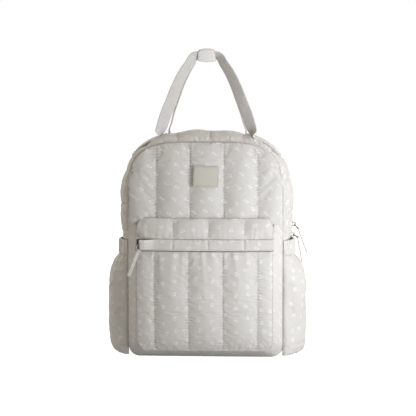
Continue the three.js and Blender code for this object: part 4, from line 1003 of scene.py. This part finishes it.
# Hand loops: two lengths of cotton webbing 22 mm wide, sewn flat on the gusset in front of the zip and
# behind it, and drawn together at their top, where they twist almost edge to edge.
WEBBING_WIDTH, WEBBING_THICKNESS = 22, 2.4
LOOP_TOP, LOOP_SEWN, LOOP_SETBACK, LOOP_PINCH, PINCH_ANGLE = 517.5, 54, 24, 1.8, 35
WRAP_LENGTH = 32
LOOP_FLAT = WRAP_LENGTH / 2 + 1.5
LOOP_CURVE = [
    # out, up, front turn, back turn
    [0.97, 0.06, 36, 3], [0.89, 0.15, 56, 6], [0.79, 0.29, 60, 8], [0.66, 0.44, 58, 12],
    [0.53, 0.6, 54, 18], [0.37, 0.76, 49, 26], [0.18, 0.9, 42, 32], [0, 1, PINCH_ANGLE, PINCH_ANGLE],
]


def cotton_webbing():
    """Cotton webbing, woven in a herringbone of 3 mm ribs: soft and matt."""
    made, tree, shader, place, _ = clouded(
        "cotton_webbing", "#C6C1BB", "#D2CEC9", {"Scale": 60.0, "Detail": 3.0}, flat=True,
        Roughness=0.85, Sheen_Weight=0.3, Specular_IOR_Level=0.2,
    )
    across, along, _ = node(tree, "ShaderNodeSeparateXYZ", {"Vector": place}).outputs
    zigzag = node(tree, "ShaderNodeMath", {0: across, 1: 0.0037}, operation="PINGPONG").outputs[0]
    slanted = node(tree, "ShaderNodeMath", {0: along, 1: zigzag}, operation="ADD").outputs[0]
    slanted = node(tree, "ShaderNodeCombineXYZ", {"X": slanted}).outputs[0]
    ribs = node(tree, "ShaderNodeTexWave", {"Vector": slanted, "Scale": 200.0, "Distortion": 0.3})
    bump = node(tree, "ShaderNodeBump", {"Height": ribs.outputs[1], "Strength": 0.5, "Distance": 0.0005})
    tree.links.new(bump.outputs[0], shader.inputs["Normal"])
    return made


WEBBING = cotton_webbing()


def smooth_run(values, turns=3):
    """A run of points doubled a few times."""
    for _ in range(turns):
        values = doubled(values)
    return values


def band_outline(width, thickness, count=20, edge=0.35):
    """A band's section: |x / half width|^5 + |y / half thickness|^2 = 1, or near it, with soft edges."""
    turn = np.linspace(0, 2 * np.pi, count, endpoint=False) + 0.1
    sides = ((np.cos(turn), edge, width / 2), (np.sin(turn), 0.7, thickness / 2))
    return np.stack([np.sign(k) * np.abs(k) ** power * half for k, power, half in sides], axis=-1)


def carried(name, outline, path, sideways):
    """An outline carried along a path: point + x * sideways + y * up, closed at both ends."""
    along = unit(np.gradient(path, axis=0))
    side = unit(sideways - along * np.sum(sideways * along, axis=-1, keepdims=True))
    up = np.cross(along, side)
    points = path[:, None] + outline[None, :, :1] * side[:, None] + outline[None, :, 1:] * up[:, None]
    flat = np.stack(np.meshgrid(outline[:, 0], run_lengths(path)), axis=-1).reshape(-1, 2)
    first = np.arange(len(outline))
    ends = [first[::-1].tolist(), (first + (len(path) - 1) * len(outline)).tolist()]
    return piece_from(name, points.reshape(-1, 3), tube_faces(len(path), len(outline)), flat, caps=ends)


def gusset_frame(place, y):
    """A point of the gusset with the way across it, from front to back, and the way out of it."""
    at, after, before, behind, ahead = (
        np.stack(np.broadcast_arrays(*gusset_surface(place + p, y + q)), axis=-1)
        for p, q in ((0, 0), (2, 0), (-2, 0), (0, 0.5), (0, -0.5))
    )
    across = unit(behind - ahead)
    return at, across, unit(np.cross(unit(after - before), across))


def hand_loop(name, node_name, side, spread, column):
    """One loop: sewn along the gusset, free up to its top and turning as it goes, and the same mirrored."""
    y0 = side * LOOP_SETBACK
    at, across, out = gusset_frame(spread + LOOP_SEWN * np.array([1, 0.66, 0.33, 0]), y0)
    sewn = at + out * (WEBBING_THICKNESS / 2 + GUSSET_PUFF + 0.6)
    pinch = math.radians(PINCH_ANGLE)
    depth = WEBBING_WIDTH * math.cos(pinch) + WEBBING_THICKNESS * math.sin(pinch)
    setback = side * (LOOP_PINCH + depth / 2)
    start = sewn[-1]
    table = np.array(LOOP_CURVE, float)
    free = np.stack([
        LOOP_FLAT + (start[0] - LOOP_FLAT) * table[:, 0],
        y0 + (setback - y0) * table[:, 1],
        start[2] + (LOOP_TOP - start[2]) * table[:, 1],
    ], axis=-1)
    path = np.concatenate([sewn, free])
    along = unit(np.gradient(path, axis=0))[len(sewn):]
    turn = np.radians(-side * table[:, column])[:, None]
    level = np.tile([0.0, 1, 0], (len(free), 1))
    tipped = along * along[:, 1:2] * (1 - np.cos(turn))
    turned = level * np.cos(turn) + np.cross(along, level) * np.sin(turn) + tipped
    width = np.concatenate([across, turned])
    path, width = (smooth_run(np.concatenate([k, (k * [-1, 1, 1])[::-1]])) for k in (path, width))
    loop = carried(name, band_outline(WEBBING_WIDTH, WEBBING_THICKNESS), path, width)
    dressed(loop, [node_name], WEBBING)
    # Each sewn end is folded under on itself and stitched down along both edges.
    fold_outline = band_outline(WEBBING_WIDTH - 0.6, WEBBING_THICKNESS)
    under, over = smooth_run(sewn - out * (WEBBING_THICKNESS - 0.1)), smooth_run(across)
    for word, flip in (("left", np.array([-1, 1, 1])), ("right", np.ones(3))):
        fold = carried(f"{name}_end_{word}", fold_outline, under * flip, over * flip)
        dressed(fold, [], WEBBING)
        tops = [smooth_run(sewn + out * 1.2 + across * offset) * flip for offset in (-8.5, 8.5)]
        stitched(f"{name}_stitching_{word}", [(top, smooth_run(out) * flip) for top in tops], slot="webbing")


hand_loop("hand_loop_front_webbing", "hand_loop_front", -1, 84, 2)
hand_loop("hand_loop_back_webbing", "hand_loop_back", 1, 70, 3)

# Wrap: a folded band of plain undyed cotton, closed round both loops, softly rounded by use.
undyed_cotton, undyed_tree, undyed_shader, _, slub = clouded(
    "undyed_cotton", "#DDDAD5", "#E3E0DC", {"Scale": 160.0, "Detail": 3.0}, Roughness=0.85, Sheen_Weight=0.3,
)
slub_bump = node(undyed_tree, "ShaderNodeBump", {"Height": slub, "Strength": 0.1, "Distance": 0.0002})
undyed_tree.links.new(slub_bump.outputs[0], undyed_shader.inputs["Normal"])

WRAP_SECTION = np.array([
    # across, up: half of the section, from the middle of its foot to the middle of its top
    [0, -8.6], [4.2, -8.6], [7.4, -7.0], [15, -0.6], [22.4, 4.3], [22.6, 6.8], [20.4, 8.7], [10, 9.0],
    [0, 9.0],
])


def sleeve(name, outer, inner):
    """A tube with a wall: outer and inner rings along its length, joined at both ends."""
    rings, n = outer.shape[:2]
    wall, count = tube_faces(rings, n), rings * n
    k, after = np.arange(n), (np.arange(n) + 1) % n
    first = np.stack([after, k, k + count, after + count], axis=-1)
    last = np.stack([k, after, after + count, k + count], axis=-1) + (rings - 1) * n
    faces = np.concatenate([wall, wall[:, ::-1] + count, first, last])
    return piece_from(name, np.concatenate([outer.reshape(-1, 3), inner.reshape(-1, 3)]), faces)


half_section = smooth_run(WRAP_SECTION, 2)
section = np.concatenate([half_section, (half_section * [-1, 1])[::-1][1:-1]])
wrap_share = np.linspace(-1, 1, 33)
bulge = 1.4 + 1.8 * (1 - wrap_share**2) - edge_roll((1 - np.abs(wrap_share)) * 16, 2)
sections = section + unit(section - section.mean(axis=0)) * bulge[:, None, None], np.tile(section, (33, 1, 1))
narrowed = [1 - 0.2 * np.clip((k[..., 1] + 9) / 18, 0, 1) ** 1.5 for k in sections]
wrap_walls = [
    np.stack([WRAP_LENGTH / 2 * wrap_share[:, None] * narrow, k[..., 0], k[..., 1] + LOOP_TOP], axis=-1)
    for narrow, k in zip(narrowed, sections)
]
dressed(sleeve("handle_wrap_folded", *wrap_walls), ["handle_wrap"], undyed_cotton)

# Zips: woven tape with a coil of nylon sewn down its middle, closed. The coil shows as fine cross ribs.
ZIP_TAPE, ZIP_SUNK, COIL_WIDTH, COIL_HEIGHT, COIL_PITCH = 1.4, 1.6, 5.4, 1.5, 1.6


def zip_cloth():
    """Polyester twill tape with a nylon coil, a little darker and browner than the cotton."""
    made, tree, shader, _, fleck = clouded(
        "zip_tape_and_coil", "#8F8375", "#A99D8E", {"Scale": 300.0, "Detail": 3.0}, flat=True,
        Roughness=0.6, Specular_IOR_Level=0.35,
    )
    bump = node(tree, "ShaderNodeBump", {"Height": fleck, "Strength": 0.4, "Distance": 0.0003})
    tree.links.new(bump.outputs[0], shader.inputs["Normal"])
    return made


ZIP = zip_cloth()


def zip_run(name, node_name, middle, across, out, half):
    """Tape carried along its line, with a coil: ribs across it, as high as |sin| of the place along it."""
    lengths = run_lengths(middle)
    fine = np.arange(0, lengths[-1], COIL_PITCH / 4)
    middle, across, out = (read_along(values, lengths, fine) for values in (middle, across, out))
    across, out = unit(across), unit(out)
    rib = 0.55 + 0.45 * np.abs(np.sin(np.pi * fine / COIL_PITCH))
    c = COIL_WIDTH / 2
    u = np.array([-half, -c - 0.3, -c, -c * 0.6, 0, c * 0.6, c, c + 0.3, half])
    high = np.array([0, 0, 0.35, 0.9, 1, 0.9, 0.35, 0, 0])
    top = ZIP_TAPE / 2 + COIL_HEIGHT * high[None] * rib[:, None]
    tape = middle[:, None] + across[:, None] * u[None, :, None]
    outer, inner = tape + out[:, None] * top[..., None], tape - out[:, None] * ZIP_TAPE / 2
    flat = np.stack(np.meshgrid(u, fine), axis=-1)
    dressed(shell(name, outer, inner, flat), [node_name], ZIP)


zip_places = np.linspace(-0.5, 0.5, 240) * RIDGE_LENGTH
zip_at, zip_across, zip_out = gusset_frame(zip_places, 0)
zip_run("main_zip_coil", "main_zip", zip_at - zip_out * ZIP_SUNK, zip_across, zip_out, ZIP_SLOT / 2 - GAP)

POCKET_ZIP_WIDTH = 8.5
pocket_zip_z = POCKET_ZIP_FROM + POCKET_ZIP_WIDTH / 2 + 2 * GAP
pocket_zip_x = np.linspace(-1, 1, 60) * (POCKET_HALF - SIDE_WALL - 3 * GAP)
pocket_zip_y = pocket_face(pocket_zip_x, pocket_zip_z) + 3 + 2.3
zip_low, zip_high = (pocket_face(pocket_zip_x, z) for z in (POCKET_ZIP_FROM, POCKET_ZIP_TO))
slope = (zip_high - zip_low) / (POCKET_ZIP_TO - POCKET_ZIP_FROM)
pocket_zip_at = np.stack([pocket_zip_x, pocket_zip_y - ZIP_TAPE / 2, np.full(60, pocket_zip_z)], axis=-1)
pocket_zip_up = unit(np.stack([0 * slope, slope, 0 * slope + 1], axis=-1))
zip_run("pocket_zip_coil", "pocket_zip", pocket_zip_at, pocket_zip_up, np.tile([0.0, -1, 0], (60, 1)), 4.4)

# Sliders and rings: die-cast zinc, plated dark nickel, with rounded edges.
plated, *_ = clouded(
    "plated_zinc", "#4C4844", "#6E6964", {"Scale": 400.0, "Detail": 3.0}, Metallic=1.0, Roughness=0.32,
)


def softened(node_name, material, width, smooth=2):
    """A copy of a hard piece's own solid, with its corners merged and its edges rounded."""
    source = bpy.data.objects[node_name]
    mesh = source.data.copy()
    mesh.name = f"{node_name}_rounded"
    work = bmesh.new()
    work.from_mesh(mesh)
    bmesh.ops.remove_doubles(work, verts=work.verts, dist=1e-6)
    work.to_mesh(mesh)
    work.free()
    made = bpy.data.objects.new(f"{node_name}_rounded", mesh)
    bpy.context.scene.collection.objects.link(made)
    rounding_off = made.modifiers.new("rounded", "BEVEL")
    rounding_off.width, rounding_off.segments, rounding_off.limit_method = width * MM, smooth, "ANGLE"
    rounding_off.harden_normals = False
    for polygon in mesh.polygons:
        polygon.use_smooth = True
    return dressed(made, [node_name], material)


for kind in ("slider", "ring"):
    for name in (f"main_{kind}_upper", f"main_{kind}_lower", f"pocket_{kind}"):
        softened(name, plated, 0.4)

# Pull tabs: folded strips of pale smooth leather, glued and cut, with rounded edges.
pale_leather, leather_tree, leather_shader, leather_place, _ = clouded(
    "pale_leather", "#A29D97", "#C4BFB8", {"Scale": 120.0, "Detail": 4.0},
    Roughness=0.55, Specular_IOR_Level=0.4,
)
grain = node(leather_tree, "ShaderNodeTexVoronoi", {"Vector": leather_place, "Scale": 900.0}).outputs[0]
grain_bump = node(leather_tree, "ShaderNodeBump", {"Height": grain, "Strength": 0.35, "Distance": 0.0003})
leather_tree.links.new(grain_bump.outputs[0], leather_shader.inputs["Normal"])
for name in ("main_tab_upper", "main_tab_lower", "pocket_tab"):
    softened(name, pale_leather, 0.6, 3)

# Shoulder straps: cotton over foam, sewn along both edges, with webbing and a moulded adjuster at the foot.
STRAP_WIDTH, STRAP_THICKNESS, STRAP_TOP, STRAP_END, STRAP_BOW = 60, 10, 348, 128, 30
STRAP_TOP_SPREAD, STRAP_END_SPREAD = SEAM_WIDTH * 0.16, SEAM_WIDTH * 0.28
STRAP_WEBBING_FOOT, STRAP_WEBBING_SPREAD, STRAP_WEBBING_TAIL = 30, SEAM_WIDTH / 2 - 24, 10
ADJUSTER_LENGTH, STRAP_WEBBING_WIDTH = 26, 25
STRAP_CURVE = np.array([
    # length share, bow share, spread share
    [0, 0, 0], [0.08, 0, 0.02], [0.2, 0.5, 0.1], [0.4, 0.95, 0.3], [0.65, 1, 0.58], [0.85, 0.75, 0.84],
    [1, 0.5, 1],
])


def resting_on_back(x, z, width, thickness):
    """Depth of a band's middle where it rests on the back panel."""
    under = [back_face(x + share * width, z) for share in (-0.5, 0, 0.5)]
    return np.maximum.reduce(under) + 3 * GAP + thickness / 2


acetal = clouded("moulded_acetal", "#B2ADA5", "#BEB9B2", {"Scale": 250.0, "Detail": 3.0}, Roughness=0.45)[0]
ACROSS = np.array([1.0, 0, 0])

for word, side in (("left", -1), ("right", 1)):
    x = side * (STRAP_TOP_SPREAD + (STRAP_END_SPREAD - STRAP_TOP_SPREAD) * STRAP_CURVE[:, 2])
    z = STRAP_TOP + (STRAP_END - STRAP_TOP) * STRAP_CURVE[:, 0]
    y = resting_on_back(x, z, STRAP_WIDTH, STRAP_THICKNESS) + STRAP_BOW * STRAP_CURVE[:, 1]
    path = smooth_run(np.stack([x, y, z], axis=-1), 4)
    strap_outline = band_outline(STRAP_WIDTH, STRAP_THICKNESS, 44, 0.5)
    strap = carried(f"shoulder_strap_{word}_padded", strap_outline, path, ACROSS)
    dressed(strap, [f"shoulder_strap_{word}"], COTTON)
    out = np.cross(unit(np.gradient(path, axis=0)), ACROSS)
    out *= np.sign(out[:, 1:2])
    runs = [(path + [offset, 0, 0] + out * 4.1, out) for offset in (-25, 25)]
    stitched(f"shoulder_strap_{word}_stitching", runs)
    softened(f"strap_adjuster_{word}", acetal, 1.0, 3)
    foot_x = side * STRAP_WEBBING_SPREAD
    foot_y = resting_on_back(foot_x, STRAP_WEBBING_FOOT, STRAP_WEBBING_WIDTH, WEBBING_THICKNESS) - GAP
    foot = np.array([foot_x, foot_y, STRAP_WEBBING_FOOT])
    begin = path[-1] + unit(foot - path[-1]) * (STRAP_THICKNESS / 2 + GAP + ADJUSTER_LENGTH + 3 * GAP)
    tail = foot + [side * 0.3 * STRAP_WEBBING_TAIL, 0, -STRAP_WEBBING_TAIL]
    run = smooth_run(np.array([begin, (begin + foot) / 2 + [0, -1.5, 0], foot, tail]), 4)
    webbing_outline = band_outline(STRAP_WEBBING_WIDTH, WEBBING_THICKNESS)
    webbing = carried(f"strap_webbing_{word}_woven", webbing_outline, run, ACROSS)
    dressed(webbing, [f"strap_webbing_{word}"], WEBBING)

# Floor, light and camera: a white studio sweep under a soft sky that is dark in front and bright above and
# behind, a near softbox at the right, and the camera a little right of the bag's middle and just above it.
CAMERA_TURN, CAMERA_RISE, CAMERA_DISTANCE = math.radians(3), math.radians(4), 2.2
LOOK_AT = np.array([0.00175, 0, 0.252])
FRAME_WIDTH = 0.728

floor_corners = [[x * 6000, y * 6000, -0.5] for x, y in ((-1, -1), (1, -1), (1, 1), (-1, 1))]
sweep = piece_from("studio_floor", floor_corners, [[0, 1, 2, 3]])
paper, paper_tree, paper_shader = new_material(
    "white_paper", Base_Color=linear("#B4B2AE"), Roughness=0.9, Emission_Color=(1, 1, 1, 1),
)
paper_seen = node(paper_tree, "ShaderNodeLightPath").outputs["Is Camera Ray"]
glow = node(paper_tree, "ShaderNodeMix", {0: paper_seen, 2: 0.15, 3: 1.0}).outputs[0]
paper_tree.links.new(glow, paper_shader.inputs["Emission Strength"])
sweep.data.materials.append(paper)
sweep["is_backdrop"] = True

SHADE, SHADE_FRONT, SHADE_BACK = "#FFFBF3", 0.02, 1.2
world = bpy.data.worlds.new("studio")
world.use_nodes = True
sky = world.node_tree
sky_way = node(sky, "ShaderNodeSeparateXYZ", {"Vector": node(sky, "ShaderNodeTexCoord").outputs["Generated"]})
back_and_up = {0: sky_way.outputs[1], 1: 0.95, 2: sky_way.outputs[2]}
back_and_up = node(sky, "ShaderNodeMath", back_and_up, operation="MULTIPLY_ADD").outputs[0]
around = {"Value": back_and_up, 1: -0.45, 2: 0.9, 3: SHADE_FRONT, 4: SHADE_BACK}
around = node(sky, "ShaderNodeMapRange", around).outputs[0]
seen = node(sky, "ShaderNodeLightPath").outputs["Is Camera Ray"]
strength = node(sky, "ShaderNodeMix", {0: seen, 2: around, 3: 1.0}).outputs[0]
colour = node(sky, "ShaderNodeMix", {0: seen, 6: linear(SHADE), 7: (1, 1, 1, 1)}, data_type="RGBA")
sky.links.new(strength, sky.nodes["Background"].inputs["Strength"])
sky.links.new(colour.outputs[2], sky.nodes["Background"].inputs["Color"])
bpy.context.scene.world = world

# The softbox: a square area light at the right, turned to the middle of the bag.
KEY_AT, KEY_SIZE, KEY_WATTS, KEY_COLOUR = np.array([0.53, -0.54, 0.29]), 0.42, 4.9, (0.94, 1.0, 1.1)
key = bpy.data.lights.new("key", "AREA")
key.size, key.energy, key.color = KEY_SIZE, KEY_WATTS, KEY_COLOUR
softbox = bpy.data.objects.new("key", key)
bpy.context.scene.collection.objects.link(softbox)
softbox.location = KEY_AT
aim = np.array([0, 0, 0.25]) - KEY_AT
softbox.rotation_euler = (math.atan2(aim[1], math.hypot(aim[0], aim[2])), -math.atan2(aim[0], -aim[2]), 0)

level = math.cos(CAMERA_RISE)
back = np.array([math.sin(CAMERA_TURN) * level, -math.cos(CAMERA_TURN) * level, math.sin(CAMERA_RISE)])
lens = bpy.data.cameras.new("camera")
lens.sensor_width = 36
lens.lens = 36 * CAMERA_DISTANCE / FRAME_WIDTH
camera = bpy.data.objects.new("camera", lens)
bpy.context.scene.collection.objects.link(camera)
camera.location = LOOK_AT + back * CAMERA_DISTANCE
camera.rotation_euler = (math.pi / 2 - CAMERA_RISE, 0, CAMERA_TURN)
bpy.context.scene.camera = camera
bpy.context.scene.view_settings.view_transform = "Standard"

to_lists = lambda corners: [list(map(float, corner)) for corner in corners]
{"cad": to_lists(cad_bounds), "visual": to_lists(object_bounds())}
